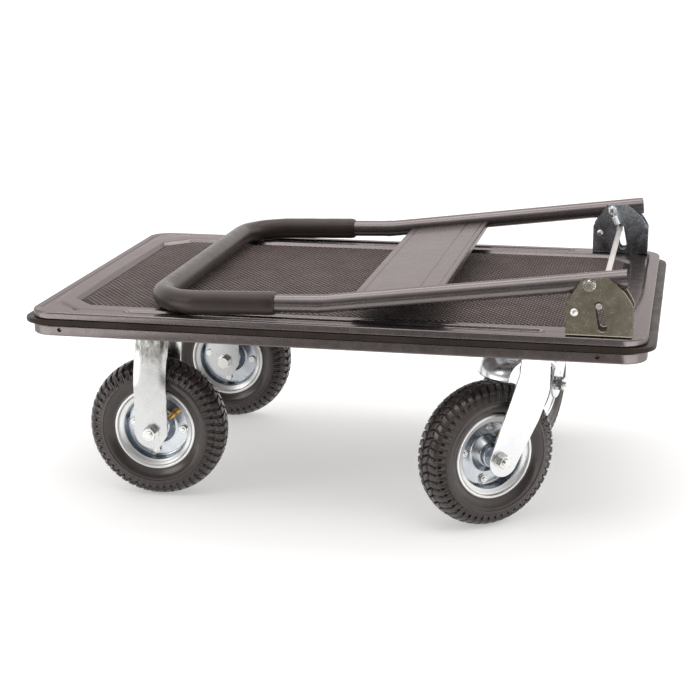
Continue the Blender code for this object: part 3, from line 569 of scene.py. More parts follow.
# Rubber: dark and light tints, roughness, scale and depth of the grain
TYRE_TINTS = (0.018, 0.013, 0.012), (0.031, 0.024, 0.022)
TYRE = rubber_material("tyre_rubber", *TYRE_TINTS, 0.34, 900.0, 0.00006, dust=0.06, shine=0.6, coat=0.5)
BUMPER_TINTS = (0.026, 0.019, 0.016), (0.042, 0.031, 0.027)
BUMPER = rubber_material("bumper_rubber", *BUMPER_TINTS, 0.42, 600.0, 0.00006, shine=0.14)
TUBE_RUBBER = rubber_material("butyl_rubber", (0.010,) * 3, (0.016,) * 3, 0.5, 500.0, 0.0001)
SEAL = rubber_material("bearing_seal", (0.012, 0.011, 0.011), (0.020, 0.018, 0.018), 0.38, 700.0, 0.00005)
MAT = mat_material()
GRIP = grip_material()
BRASS = brass_material()


# Camera, light and floor


CAMERA_AZIMUTH = radians(11.90)
CAMERA_ELEVATION = radians(15.32)
CAMERA_ROLL = radians(0.263)
CAMERA_DISTANCE = 2.698
CAMERA_AIM = Vector((-0.0279, CENTRE.y, 0.1872))
FOCAL_SHARE = 1659.3 / 700.0


def make_camera():
    """Looks at the cart as the photograph does. The focal length is a share of the sensor's width."""
    flat = cos(CAMERA_ELEVATION)
    back = Vector((sin(CAMERA_AZIMUTH) * flat, -cos(CAMERA_AZIMUTH) * flat, sin(CAMERA_ELEVATION)))
    data = bpy.data.cameras.new("camera")
    data.sensor_width = 36.0
    data.lens = data.sensor_width * FOCAL_SHARE
    data.clip_start, data.clip_end = 0.05, 60.0
    camera = added("camera", data)
    camera.location = CAMERA_AIM + back * CAMERA_DISTANCE
    turn = (-back).to_track_quat("-Z", "Y").to_matrix() @ Matrix.Rotation(-CAMERA_ROLL, 3, "Z")
    camera.rotation_euler = turn.to_euler()
    bpy.context.scene.camera = camera


def make_light(name, position, target, size, power, colour=(1.0, 1.0, 1.0)):
    data = bpy.data.lights.new(name, "AREA")
    data.shape = "RECTANGLE"
    data.size, data.size_y = size
    data.energy = power
    data.color = colour
    light = added(name, data)
    light.location = position
    light.rotation_euler = (Vector(target) - Vector(position)).to_track_quat("-Z", "Y").to_euler()


def make_world():
    """A pale dome that darkens low in front, so that upright metal shows dark and light bands."""
    world = bpy.data.worlds.new("studio")
    bpy.context.scene.world = world
    world.use_nodes = True
    tree = world.node_tree
    where = add_node(tree, "TexCoord", {}).outputs["Generated"]
    ways = add_node(tree, "SeparateXYZ", {0: where}).outputs
    lean = add_node(tree, "Math", {0: ways["Y"], 1: 0.5, 2: 0.5}, operation="MULTIPLY_ADD").outputs[0]
    rise = add_node(tree, "Math", {0: ways["Z"], 1: 0.55, 2: lean}, operation="MULTIPLY_ADD").outputs[0]
    greys = ((0.0, 0.12), (0.30, 0.20), (0.50, 0.60), (0.68, 1.08), (1.0, 1.22))
    stops = [(position, (grey, grey * 0.985, grey * 0.97)) for position, grey in greys]
    tree.links.new(add_ramp(tree, rise, stops), tree.nodes["Background"].inputs["Color"])


def make_card(nodes, low, high, low_y, high_y, z):
    """A flat rectangle of the stage, from low to high along X, named like its material."""
    corners = [(low, low_y, z), (high, low_y, z), (high, high_y, z), (low, high_y, z)]
    name = nodes.material.name
    mesh = finish_mesh(name, shape(corners, [[0, 1, 2, 3]]))
    mesh.materials.append(nodes.material)
    return added(name, mesh)


def make_floor():
    """A pale floor out to the horizon. In front of the cart lie a dark sheet and two bright ones,
    which only glossy surfaces see."""
    glow = {"Emission_Strength": 0.42, "Emission_Color": (1.0, 0.995, 0.985, 1.0)}
    nodes = Nodes("floor", 0.75, Specular_IOR_Level=0.2, **glow)
    nodes.colour(nodes.spread(nodes.noise(0.6, 3.0), 0.60, 0.63))
    floor = make_card(nodes, -30.0, 30.0, -30.0, 30.0, 0.0)
    dark = Nodes("dark_sheet", 0.9)
    dark.colour(dark.spread(dark.noise(2.0), (0.120, 0.107, 0.086), (0.160, 0.144, 0.118)))
    sheets = [make_card(dark, -0.64, 0.62, -6.0, -0.86, 0.004)]
    glow = {"Emission_Strength": 1.1, "Emission_Color": (1.0, 0.99, 0.98, 1.0)}
    for name, low, high in (("left_sheet", -2.6, -0.64), ("right_sheet", 0.62, 2.4)):
        bright = Nodes(name, 0.9, **glow)
        bright.colour(bright.spread(bright.noise(2.0), 0.95, 1.0))
        sheets.append(make_card(bright, low, high, -2.6, -0.5, 0.004))
    for sheet in sheets:
        sheet.visible_camera = sheet.visible_diffuse = sheet.visible_shadow = False


def make_stage():
    make_camera()
    make_world()
    make_floor()
    make_light("overhead", (-0.1, 0.8, 2.6), (0.0, 0.1, 0.2), (3.2, 0.9), 19.0)
    make_light("front_top", (-0.2, -0.9, 2.5), (0.0, -0.2, 0.3), (2.6, 0.9), 10.0)
    make_light("left_front", (-2.2, -1.9, 1.5), (0.0, 0.0, 0.25), (1.2, 1.2), 12.0, (1.0, 0.985, 0.97))
    make_light("right_back", (2.6, 1.6, 1.6), (0.0, 0.0, 0.25), (1.4, 1.4), 9.0)
    bpy.context.scene.view_settings.view_transform = "Standard"


# Deck


def quarters():
    """The signs of X and Y of the deck's four corners, going round from the far hinge corner."""
    return enumerate(((1, 1), (-1, 1), (-1, -1), (1, -1)))


def deck_outline(inset, z, counts, extra=(0.0, 0.0)):
    """A rounded rectangle inset from the deck's edge, with counts points along the long sides, the
    short sides and the corners. extra adds to its half length and half width."""
    half_x = DECK_LENGTH / 2 - inset + extra[0]
    half_y = DECK_WIDTH / 2 - inset + extra[1]
    corner = max(DECK_CORNER - inset + min(extra), 0.004)
    corners = []
    for quarter, (side_x, side_y) in quarters():
        middle = (side_x * (half_x - corner), side_y * (half_y - corner))
        corners.append(arc(middle, corner, quarter * pi / 2, (quarter + 1) * pi / 2, counts[2]))
    return filled_outline(corners, z, counts)


def mat_outline(grow, z, counts):
    """The mat's chamfered rectangle grown on each side, with points like deck_outline's."""
    half_x = (MAT_HIGH.x - MAT_LOW.x) / 2 + grow
    half_y = (MAT_HIGH.y - MAT_LOW.y) / 2 + grow
    chamfer = MAT_CHAMFER + grow * CHAMFER_GROWTH
    corners = []
    for quarter, (side_x, side_y) in quarters():
        ends = [Vector((side_x * half_x, side_y * (half_y - chamfer)))]
        ends.insert(1 - quarter % 2, Vector((side_x * (half_x - chamfer), side_y * half_y)))
        corners.append([tuple(ends[0].lerp(ends[1], step / counts[2])) for step in range(counts[2] + 1)])
    return filled_outline(corners, z, counts)


def filled_outline(corners, z, counts):
    """Joins four corners by straight sides. The sides after the first and third corner are long."""
    points = []
    for index, corner in enumerate(corners):
        points += corner
        start, end = Vector(corner[-1]), Vector(corners[(index + 1) % 4][0])
        count = counts[0] if index in (0, 2) else counts[1]
        points += [tuple(start.lerp(end, (step + 1) / (count + 1))) for step in range(count)]
    flat = np.array(points)
    return np.column_stack([flat[:, 0] + CENTRE.x, flat[:, 1] + CENTRE.y, np.full(len(flat), z)])


def smooth(value):
    value = np.clip(value, 0.0, 1.0)
    return value * value * (3 - 2 * value)


def away_from_line(x, y, start, end):
    """Distance from the points to the straight line between start and end."""
    along = np.array(end) - np.array(start)
    share = np.clip(((x - start[0]) * along[0] + (y - start[1]) * along[1]) / (along @ along), 0, 1)
    return np.hypot(x - start[0] - share * along[0], y - start[1] - share * along[1])


def rim_relief(x, y):
    """Height of the pressed marks in the deck's rim, at places measured from the deck's middle."""
    relief = np.zeros_like(x)
    for side in (-1, 1):
        away = away_from_line(x, y, *((end_x, side * SIDE_GROOVE_Y) for end_x in SIDE_GROOVE_X))
        relief -= 0.0034 * smooth((SIDE_GROOVE_HALF - away) / 0.0032)
        relief += 0.0004 * np.exp(-(((away - SIDE_GROOVE_HALF - 0.0016) / 0.0014) ** 2))
    far_turn = arc((END_BEAD_X + 0.028, 0.258), 0.028, pi, pi / 2, 6) + [(-0.386, 0.2895)]
    beads = [[(END_BEAD_X, -0.272), (END_BEAD_X, 0.258)], far_turn, [(-0.420, -0.247), (-0.383, -0.284)]]
    for path in beads:
        away = np.min([away_from_line(x, y, *pair) for pair in zip(path, path[1:])], axis=0)
        relief -= 0.0032 * np.exp(-((away / 0.0021) ** 2))
    relief -= 0.0008 * smooth((END_BEAD_X - x) / 0.0015)
    bend = 0.4385 - 0.0125 * smooth((-y - 0.02) / 0.20) - 0.020 * smooth((np.abs(y) - 0.262) / 0.030)
    return relief - 0.0010 * smooth((bend - x) / 0.0030) * smooth((x - 0.402) / 0.004)


def pan_walls():
    """Insets and heights down the skirt, past the groove, round the hem and up the inside."""
    hem = DECK_BOTTOM + SHEET
    behind = GROOVE_DEPTH + SHEET
    walls = [(0.0, GROOVE_HIGH + 0.0015), (0.0005, GROOVE_HIGH + 0.0003), (0.0015, GROOVE_HIGH)]
    walls += [(GROOVE_DEPTH, GROOVE_HIGH), (GROOVE_DEPTH, GROOVE_LOW), (0.0015, GROOVE_LOW)]
    walls += [(0.0005, GROOVE_LOW - 0.0003), (0.0, GROOVE_LOW - 0.0015), (0.0, DECK_BOTTOM + 0.0022)]
    walls += [(0.0005, DECK_BOTTOM + 0.0009), (0.0012, DECK_BOTTOM + 0.0003), (0.0024, DECK_BOTTOM)]
    walls += [(0.0115, DECK_BOTTOM), (0.0120, DECK_BOTTOM + 0.0006), (0.0120, hem), (behind, hem)]
    return walls + [(behind, DECK_TOP - SHEET - 0.0035), (behind + SHEET, DECK_TOP - SHEET - 0.0012)]


def make_pan():
    """The pressed steel deck: relief in its rim, a groove for the bumper and a turned-in hem."""
    counts = (250, 160, 14)
    steps = 44
    floor = DECK_TOP - RECESS_DEPTH
    inner, outer = mat_outline(0.001, 0.0, counts), deck_outline(EDGE_RADIUS, 0.0, counts)
    rows = []
    for step in range(steps + 1):
        ring = inner + (outer - inner) * step / steps
        away = np.hypot(*(ring - inner).T[:2])
        relief = rim_relief(ring[:, 0] - CENTRE.x, ring[:, 1] - CENTRE.y)
        ring[:, 2] = floor + RECESS_DEPTH * smooth(away / SLOPE_WIDTH)
        ring[:, 2] += relief * smooth((away - SLOPE_WIDTH * 0.6) / 0.004)
        ring[:, 2] -= RIM_DROP * smooth((away - 0.036) / 0.012)
        rows.append(ring)
    for angle in np.radians((22, 45, 68, 90)):
        inset, drop = EDGE_RADIUS * (1 - sin(angle)), EDGE_RADIUS * (1 - cos(angle))
        rows.append(deck_outline(inset, DECK_TOP - RIM_DROP - drop, counts))
    rows += [deck_outline(inset, z, counts) for inset, z in pan_walls()]
    for share, z in ((0.5, DECK_TOP - SHEET - 0.0032), (1.0, floor - SHEET)):
        ring = outer + (inner - outer) * share
        ring[:, 2] = z
        rows.append(ring)
    holes = []
    for x in SKIRT_HOLE_X:
        for side in (-1, 1):
            start = side * (DECK_WIDTH / 2 - GROOVE_DEPTH - SHEET / 2)
            hole = lathe([(SKIRT_HOLE_RADIUS, start), (SKIRT_HOLE_RADIUS, side * DECK_WIDTH)], 24)
            holes.append(shifted(hole, (x, CENTRE.y, SKIRT_HOLE_Z)))
    piece("deck_pressing", worked(grid(rows, caps=True), holes), PAINT, "deck", ["deck_pan"], 40)


def inside_mat(x, y, margin):
    half_x = (MAT_HIGH.x - MAT_LOW.x) / 2 - margin
    half_y = (MAT_HIGH.y - MAT_LOW.y) / 2 - margin
    reach = half_x + half_y - MAT_CHAMFER + margin * CHAMFER_GROWTH
    return abs(x) < half_x and abs(y) < half_y and abs(x) + abs(y) < reach


def make_mat():
    """The rubber mat: a bevelled sheet with rows of small raised diamonds."""
    top, base = MAT_HIGH.z, MAT_HIGH.z - STUD_RISE
    rings = ((-0.0002, MAT_LOW.z), (0.0, MAT_LOW.z + 0.0003), (0.0, base - 0.0006), (-0.0012, base))
    sheet = grid([mat_outline(grow, z, (2, 2, 3)) for grow, z in rings], caps=True)
    step_x, step_y = STUD_STEP
    levels = ((0.80, base - 0.0002), (0.58, top - 0.0002), (0.44, top))
    ways = ((step_x / 2, 0), (0, step_y / 2), (-step_x / 2, 0), (0, -step_y / 2))
    stud, stud_faces = grid([[(share * x, share * y, z) for x, y in ways] for share, z in levels], caps=True)
    rows = ceil((MAT_HIGH.y - MAT_LOW.y) / step_y) * 2
    columns = ceil((MAT_HIGH.x - MAT_LOW.x) / step_x)
    places = []
    for row in range(-rows // 2, rows // 2 + 1):
        for column in range(-columns // 2 - 1, columns // 2 + 2):
            x, y = (column + (row % 2) / 2) * step_x, row * step_y / 2
            if inside_mat(x, y, 0.006):
                places.append((x + CENTRE.x, y + CENTRE.y, 0.0))
    points = (np.array(places)[:, None, :] + stud[None, :, :]).reshape(-1, 3)
    starts = range(0, len(points), len(stud))
    faces = [[index + start for index in face] for start in starts for face in stud_faces]
    piece("mat_sheet", join(sheet, (points, faces)), MAT, "deck", ["deck_mat"], 25)


def make_bumper():
    """The rubber edge: a soft ridged section, with its butt joint in the hinge end."""
    counts = (150, 120, 12)
    steps = 22
    reach_x, reach_y = BUMPER_HIGH.x - PAN_HIGH.x, BUMPER_HIGH.y - PAN_HIGH.y
    low, high = BUMPER_LOW.z + 0.0007, BUMPER_HIGH.z - 0.0005
    rows = [deck_outline(GROOVE_DEPTH - 0.0003, z, counts) for z in (low, high)]
    for step in range(steps + 1):
        across = 1 - 2 * step / steps
        bulge = (1 - abs(across) ** 5) ** 0.5
        ridge = 0.0005 * (cos(across * 3 * pi) - 1) * (abs(across) < 0.72)
        extra = (reach_x * bulge + ridge, reach_y * bulge + ridge * 0.5)
        rows.append(deck_outline(0.0, (low + high) / 2 + (high - low) / 2 * across, counts, extra))
    rows = [opened(row, BUMPER_SEAM_Y) for row in rows]
    strip = grid(np.array(rows).transpose(1, 0, 2), caps=True)
    piece("bumper_strip", strip, BUMPER, "deck", ["edge_bumper"], 50)


def opened(ring, seam):
    """A ring round the deck cut open at y = seam in its last straight side, with flared ends."""
    second_half = np.arange(len(ring)) > len(ring) // 2
    after = int(np.argmax((ring[:, 1] > seam + 0.003) & (ring[:, 0] > 0) & second_half))
    before = after - 1
    while ring[before, 1] > seam - 0.003:
        before -= 1
    x, _, z = ring[after]
    start, end = ([(x + 0.0007, seam + side * 0.0005, z), (x, seam + side * 0.0022, z)] for side in (1, -1))
    return np.concatenate([start, ring[after:], ring[: before + 1], end[::-1]])


def bevelled_node(name, material, width):
    """A CAD node that keeps its shape, with softened edges and a better material."""
    soften(frame["nodes"][name], width, 40)
    level(frame["nodes"][name])
    dressed(name, material)


def dressed(name, material):
    materials = frame["nodes"][name].data.materials
    materials.clear()
    materials.append(material)


# Hinge


def bracket_section(low, rise):
    """A U of sheet, as (y, z) from the deck's middle line, open at the top."""
    outer, inner = BRACKET_BEND, BRACKET_BEND - BRACKET_SHEET + 0.0006
    far_x, near_x = BRACKET_OUTER - BRACKET_SHEET, BRACKET_INNER + BRACKET_SHEET
    floor = low + BRACKET_SHEET + inner
    section = arc((BRACKET_INNER + outer, low + outer), outer, pi, 1.5 * pi, 5)
    section += arc((BRACKET_OUTER - outer, low + outer), outer, 1.5 * pi, 2 * pi, 5)
    section += [(BRACKET_OUTER, rise), (far_x, rise)]
    section += arc((far_x - inner, floor), inner, 0.0, -pi / 2, 3)
    section += arc((near_x + inner, floor), inner, 1.5 * pi, pi, 3)
    return section + [(near_x, rise), (BRACKET_INNER, rise)]


def bracket_shape():
    """The far bracket: a folded sheet cut to its outline, with the slot and the holes."""
    low, rise = DECK_TOP + 0.0003, BRACKET_HIGH.z
    back, front = BRACKET_LOW.x, BRACKET_HIGH.x
    across = (CENTRE.y + BRACKET_INNER - 0.01, CENTRE.y + BRACKET_OUTER + 0.01)
    section, ends = bracket_section(low, rise + 0.01), (back - 0.01, front + 0.01)
    channel = grid([[(x, y + CENTRE.y, z) for y, z in section] for x in ends], caps=True)
    shoulder_front = Vector((front, low + BRACKET_SHOULDERS[1]))
    chord = Vector((BRACKET_CREST_X[1], rise)) - shoulder_front
    outward = Vector((chord.y, -chord.x)).normalized() * BRACKET_BULGE
    outline = [(back, low - 0.005), (front, low - 0.005)]
    for share in (step / 12 for step in range(13)):
        outline.append(tuple(shoulder_front + chord * share + outward * share * (1 - share)))
    outline += [(BRACKET_CREST_X[0], rise), (back, low + BRACKET_SHOULDERS[0])]
    tilt = atan2(SLOT_WAY.x, -SLOT_WAY.z)
    end = ROD + SLOT_WAY * SLOT_LENGTH
    slot = arc((ROD.x, ROD.z), SLOT_HALF_WIDTH, tilt, tilt + pi, 12)
    slot += arc((end.x, end.z), SLOT_HALF_WIDTH, tilt + pi, tilt + 2 * pi, 12)
    holes = [arc((PIVOT.x, PIVOT.z), 0.0043, 0.0, 2 * pi, 20), arc(RIVET[::2], 0.0033, 0.0, 2 * pi, 20)]
    side = worked(channel, [prism(outline, *across)], 0.0, "INTERSECT")
    return worked(side, [prism(slot, *across), *(prism(hole[:-1], *across) for hole in holes)], 0.0006)


def make_brackets():
    far = bracket_shape()
    # The far bracket's dark bluish zinc is painted shade and reflection.
    piece("far_bracket_folded", far, FAR_SHADED_ZINC, "deck", ["far_hinge_bracket"])
    piece("near_bracket_folded", mirrored(far), NEAR_ZINC, "deck", ["near_hinge_bracket"])


def pivot_bolt(inner, outer):
    washer = [(0.0086, outer), (0.0090, outer + 0.0002), (0.0090, outer + 0.0010), (0.0084, outer + 0.0012)]
    dish = [(0.0048, outer + 0.0072), (0.0044, outer + 0.0077), (0.0024, outer + 0.0078)]
    head = join(lathe(washer), hex_solid(0.0068, outer + 0.0010, outer + 0.0074), lathe(dish))
    shank = lathe([(0.0040, inner - 0.002), (0.0040, outer + 0.002)], 24)
    return join(head, shank, thread(0.0040, inner - 0.0015, inner - 0.0086))


def stop_rivet(inner, outer):
    """A shank with a domed head at each end."""
    solids = []
    for side, start in ((-1, inner), (1, outer)):
        dome = [(0.0052, start - side * 0.0002), (0.0055, start + side * 0.0004)]
        for angle in (radians(90 * step / 14.6) for step in range(1, 15)):
            dome.append((0.0055 * cos(angle), start + side * (0.0004 + 0.0030 * sin(angle))))
        solids.append(lathe(dome, 40))
    return join(*solids, lathe([(0.003, inner), (0.003, outer)], 20))


def make_hinge_fasteners():
    """Pivot bolt with washer and lock nut, and the domed stop rivet, for the far side and mirrored."""
    inner, outer = BRACKET_INNER - 0.0003, BRACKET_OUTER + 0.0003
    collar = [(0.0062, inner - 0.0066), (0.0066, inner - 0.0058), (0.0066, inner - 0.0046)]
    nut = join(hex_solid(0.0066, inner - 0.0048, inner), lathe(collar))
    pivot, rivet = (PIVOT.x, CENTRE.y, PIVOT.z), (RIVET[0], CENTRE.y, RIVET[2])
    pieces = (
        ("pivot_bolt", shifted(pivot_bolt(inner, outer), pivot), BOLT_ZINC),
        ("pivot_nut", shifted(nut, pivot), SPRING_ZINC),
        ("stop_rivet", shifted(stop_rivet(inner, outer), rivet), RIVET_ZINC),
    )
    for kind, part, material in pieces:
        piece(f"far_{kind}_turned", part, material, "deck", [f"far_{kind}"])
        piece(f"near_{kind}_turned", mirrored(part), material, "deck", [f"near_{kind}"])


def make_rod():
    """The lock rod, with a clip groove and a chamfer at each end."""
    half = (ROD_HIGH.y - ROD_LOW.y) / 2
    ends = ((0.72, 0.0), (1, 0.0009), (1, 0.0016), (0.8, 0.0018), (0.8, 0.0026), (1, 0.0028))
    sections = both_sides([(ROD_RADIUS * share, half - depth) for share, depth in ends])
    rod = shifted(lathe(sections), (ROD.x, CENTRE.y, ROD.z))
    piece("lock_rod_turned", rod, ROD_ZINC, "lock_rod", ["lock_rod"])


def spring_path():
    """The middle of the wire: a hook round the pivot bolt, the coil, and a hook round the rod. Also
    the coil's two ends."""
    top, bottom = Vector((PIVOT.x, 0.0, PIVOT.z)), Vector((ROD.x, 0.0, ROD.z))
    down = (bottom - top).normalized()
    across = Vector((0.0, 1.0, 0.0))
    side = across.cross(down)
    start, end = top + down * 0.0092, bottom - down * 0.0088

    def hook(middle, radius, first):
        angles = [radians(first + 290 * step / 12) for step in range(13)]
        return [middle + (side * cos(angle) + down * sin(angle)) * radius for angle in angles]

    coil = []
    per_turn = 14
    count = SPRING_TURNS * per_turn
    for step in range(count + 1):
        angle = 2 * pi * step / per_turn
        grow = max(0.15, min(1.0, step / 6, (count - step) / 6))
        out = (side * cos(angle) + across * sin(angle)) * SPRING_RADIUS * grow
        coil.append(start.lerp(end, step / count) + out)
    return hook(top, 0.0048, -200) + coil + hook(bottom, ROD_RADIUS + 0.0006, -90), start, end


def make_springs():
    """A close-wound extension spring between pivot bolt and rod on each side, with hooked ends."""
    path, start, end = spring_path()
    out = (SPRING_LOW.y + SPRING_HIGH.y) / 2
    far = shifted(swept(path, WIRE_RADIUS, 8, caps=True), (0.0, out, 0.0))
    for prefix, part, y in (("far", far, out), ("near", mirrored(far), 2 * CENTRE.y - out)):
        obj = piece(f"{prefix}_spring_coil", part, SPRING_ZINC, None, [f"{prefix}_lock_spring"], 60)
        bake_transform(obj)


# Handle


def handle_line(start_x, spacing=0.004):
    """Points along the near half of the handle tube, from start_x to the middle of the end bar."""
    drop, grip_drop = tan(FOLD_SLOPE), tan(GRIP_SLOPE)
    bend_z = PIVOT.z + (BEND_X - PIVOT.x) * drop

    def height(x):
        """A straight line on each side of the bend and a parabola through it."""
        if x > BEND_X + BEND_HALF:
            return bend_z + (x - BEND_X) * drop
        if x < BEND_X - BEND_HALF:
            return bend_z + (x - BEND_X) * grip_drop
        share = (x - BEND_X + BEND_HALF) / (2 * BEND_HALF)
        climb = grip_drop + (drop - grip_drop) * share / 2
        return bend_z - BEND_HALF * grip_drop + climb * share * 2 * BEND_HALF

    middle_x, middle_y = GRIP_END_X + GRIP_CORNER, TUBE_Y - GRIP_CORNER
    straight = max(2, round((start_x - middle_x) / spacing / 2))
    ways = [(start_x + (middle_x - start_x) * step / straight, TUBE_Y) for step in range(straight)]
    ways += arc((middle_x, middle_y), GRIP_CORNER, pi / 2, pi, 20)
    ways += [(GRIP_END_X, middle_y * (1 - share)) for share in (0.3, 0.65, 1.0)]
    return [Vector((x, CENTRE.y - y, height(x))) for x, y in ways]


def opposite(point):
    """A point's place on the other side of the deck's middle line."""
    return Vector((point.x, 2 * CENTRE.y - point.y, point.z))


def whole_line(half):
    return half + [opposite(point) for point in reversed(half[:-1])]


def pipe(line, outer, inner, sides):
    """A tube wall along the line, open at both ends. outer gives a radius for each point."""
    skin, bore = (swept(line, radii, sides)[0].reshape(-1, sides, 3) for radii in (outer, inner))
    return grid(np.concatenate([skin, bore[::-1]]), wrap_rows=True)


def panel_welds():
    """A bead at the foot of each edge of the panel, on both sides."""
    sizes = [0.0006, 0.0016, 0.0020, 0.0018, 0.0021, 0.0018, 0.0020, 0.0015, 0.0006]
    y = CENTRE.y - TUBE_Y + TUBE_RADIUS * 0.84
    welds = []
    for x in (PANEL_X[0] + 0.006, PANEL_X[1] - 0.016):
        z = PIVOT.z + (x - PIVOT.x) * tan(FOLD_SLOPE) - TUBE_RADIUS * 0.62
        bead = [(x - 0.008 + 0.002 * step, y, z) for step in range(len(sizes))]
        welds.append(swept(bead, sizes, 12, caps=True))
    return welds + [mirrored(weld) for weld in welds]


def make_tube():
    """The bent tube, square-cut at its tails, with a slight swelling at the crease of each bend."""
    line = whole_line(handle_line(PIVOT.x + TAIL_LENGTH * cos(FOLD_SLOPE)))
    creases = [smooth(1 - abs(point.x - BEND_X + 0.006) / 0.007) for point in line]
    radii = [TUBE_RADIUS + 0.0005 * float(crease) for crease in creases]
    radii[0] = radii[-1] = TUBE_RADIUS - 0.0003
    tube = pipe(line, radii, TUBE_RADIUS - TUBE_WALL, 40)
    piece("handle_tube_bent", join(tube, *panel_welds()), PAINT, "handle", ["handle_tube"], 40)


def make_grip():
    """The foam sleeve: slightly uneven, with soft lips at its ends."""
    line = whole_line(handle_line(GRIP_START_X, 0.003))
    last = len(line) - 1
    lips = {0: 0.0024, 1: 0.0008, 2: 0.0001}
    radii = []
    for index in range(last + 1):
        wave = 0.00012 * sin(index * 0.9) + 0.00009 * sin(index * 0.37 + 1.0)
        radii.append(GRIP_RADIUS - lips.get(min(index, last - index), 0.0) + wave)
    line[0] = line[0].lerp(line[1], 0.55)
    line[-1] = line[-1].lerp(line[-2], 0.55)
    end = line[0] + (line[0] - line[1]) * 0.12
    line = [end, *line, opposite(end)]
    radii = [GRIP_RADIUS - 0.0034, *radii, GRIP_RADIUS - 0.0034]
    sleeve = pipe(line, radii, TUBE_RADIUS + 0.0003, 44)
    piece("handle_grip_foam", sleeve, GRIP, "handle", ["handle_grip"], 60)


def make_panel():
    """The sheet between the handle's sides: lips folded down, and three pressed lines."""
    back, front = ((x - PIVOT.x) / cos(FOLD_SLOPE) for x in PANEL_X)
    sheet, lip, bend = 0.0015, 0.009, 0.0028
    upper = [(back, -lip), *arc((back + bend, -bend), bend, pi, pi / 2, 6)]
    for x in (back + 0.0135, front - 0.0360, front - 0.0085):
        upper += [(x - 0.0016, 0.0), (x - 0.0006, -0.0011), (x + 0.0006, -0.0011), (x + 0.0016, 0.0)]
    upper += [*arc((front - bend, -bend), bend, pi / 2, 0.0, 6), (front, -lip)]
    lower = []
    for before, point, after in zip([upper[0], *upper], upper, [*upper[1:], upper[-1]]):
        way = (Vector(after) - Vector(before)).normalized()
        lower.append((point[0] + way.y * sheet, point[1] - way.x * sheet))
    outline = upper + lower[::-1]
    reach = TUBE_Y - TUBE_RADIUS * 0.97
    rows = [[(x, y, z) for x, z in outline] for y in np.linspace(-reach, reach, 9)]
    turn = Matrix.Translation((PIVOT.x, CENTRE.y, PIVOT.z)) @ Matrix.Rotation(-FOLD_SLOPE, 4, "Y")
    part = placed(grid(rows, caps=True), turn)
    piece("handle_panel_pressed", part, PAINT, "handle", ["handle_panel"], 28)


# Wheels


def tread(radii, heights, angle):
    """Cuts the tread into blocks and ribs the shoulders. Heights run across the tyre."""
    turn = angle * TREAD_PITCHES / (2 * pi)
    side, away = np.sign(heights), np.abs(heights)
    crown = smooth((radii - 0.0985) / 0.0030)
    shoulder_part = away > 0.018

    def wave(value, width):
        """1 at whole numbers, falling to 0 at width to each side."""
        off = np.abs((value + 0.5) % 1.0 - 0.5)
        return smooth((width - off) / (width * 0.55))

    phase = turn + 0.25 * side
    zigzag = 0.0016 * (4 * abs((turn * 0.5) % 1.0 - 0.5) - 1)
    cuts = (
        smooth((0.0014 - np.abs(heights - zigzag)) / 0.0008),
        smooth((0.0013 - np.abs(away - 0.0120 - zigzag * side)) / 0.0008),
        wave(phase + away * 42.0, 0.13) * (away < 0.0125),
        wave(phase + 0.5 - (away - 0.012) * 26.0, 0.19) * (away >= 0.0115),
    )
    side_cut = wave(phase + 0.14, 0.19) * smooth((radii - 0.0905) / 0.0060) * (1 - crown) * shoulder_part
    flank = smooth((radii - 0.0845) / 0.0015) * (1 - smooth((radii - 0.0955) / 0.004)) * shoulder_part
    ribs = 0.5 - 0.5 * cos(2 * pi * turn * 3)
    depth = 0.0042 * np.maximum.reduce(cuts) * crown + 0.0030 * side_cut
    return radii - depth, heights - side * (0.0011 * ribs * flank + 0.0016 * side_cut)


def tyre_profile():
    """Outer skin from the inner bead round the tread to the outer bead, then the air side back."""
    half = [(0.0537, 0.0185), (0.0605, 0.0205), (0.0640, 0.0232), (0.0652, 0.0240), (0.0668, 0.0238)]
    half += [(0.0690, 0.0252), (0.0725, 0.0277), (0.0765, 0.0293), (0.0800, 0.0299), (0.0812, 0.0299)]
    half += [(0.0816, 0.0307), (0.0822, 0.0309), (0.0828, 0.0303), (0.0836, 0.0299)]
    half += [(0.0846 + 0.0012 * n, 0.0299 - 0.00022 * n - 0.000022 * n * n) for n in range(12)]
    half += [(0.0992, 0.0252), (0.1005, 0.0244), (0.1016, 0.0234), (0.1026, 0.0222)]
    crown = 22
    for step in range(crown + 1):
        across = TREAD_HALF * (1 - step / crown)
        half.append((WHEEL_RADIUS - 0.0054 * (across / TREAD_HALF) ** 2.3, across))
    air = [(0.0537, 0.0120), (0.0650, 0.0170), (0.0790, 0.0230), (0.0900, 0.0215), (0.0960, 0.0150)]
    air.append((0.0975, 0.0))
    return [(r, -y) for r, y in half] + half[-2::-1] + air + [(r, -y) for r, y in air[-2::-1]]


def nubs():
    """Small moulding pips on each side of the tyre."""
    pip = lathe([(0.0009, -0.0002), (0.0009, 0.0004), (0.0005, 0.0009)], 8)
    shapes = []
    for side in (-1, 1):
        for angle in (radians(17 + 30 * turn) for turn in range(12)):
            middle = (0.0745 * cos(angle), side * 0.0285, 0.0745 * sin(angle))
            shapes.append(shifted(placed(pip, Matrix.Scale(side, 4, (0, 1, 0))), middle))
    return join(*shapes)


def rim_profile():
    """One half of the rim's dish, from the hub's hole out to the foot of the barrel, then back."""
    face = [(0.0178, 0.0125), (0.0190, 0.0122), (0.0205, 0.0100), (0.0262, 0.0034), (0.0282, 0.0020)]
    face += [(0.0300, 0.0017), (0.0460, 0.0017), (0.0478, 0.0021), (0.0490, 0.0034)]
    back = [(0.0490, 0.0020), (0.0478, 0.0006), (0.0460, 0.0003), (0.0290, 0.0003)]
    back += [(0.0270, 0.0010), (0.0215, 0.0075), (0.0196, 0.0106), (0.0178, 0.0110)]
    return face + back


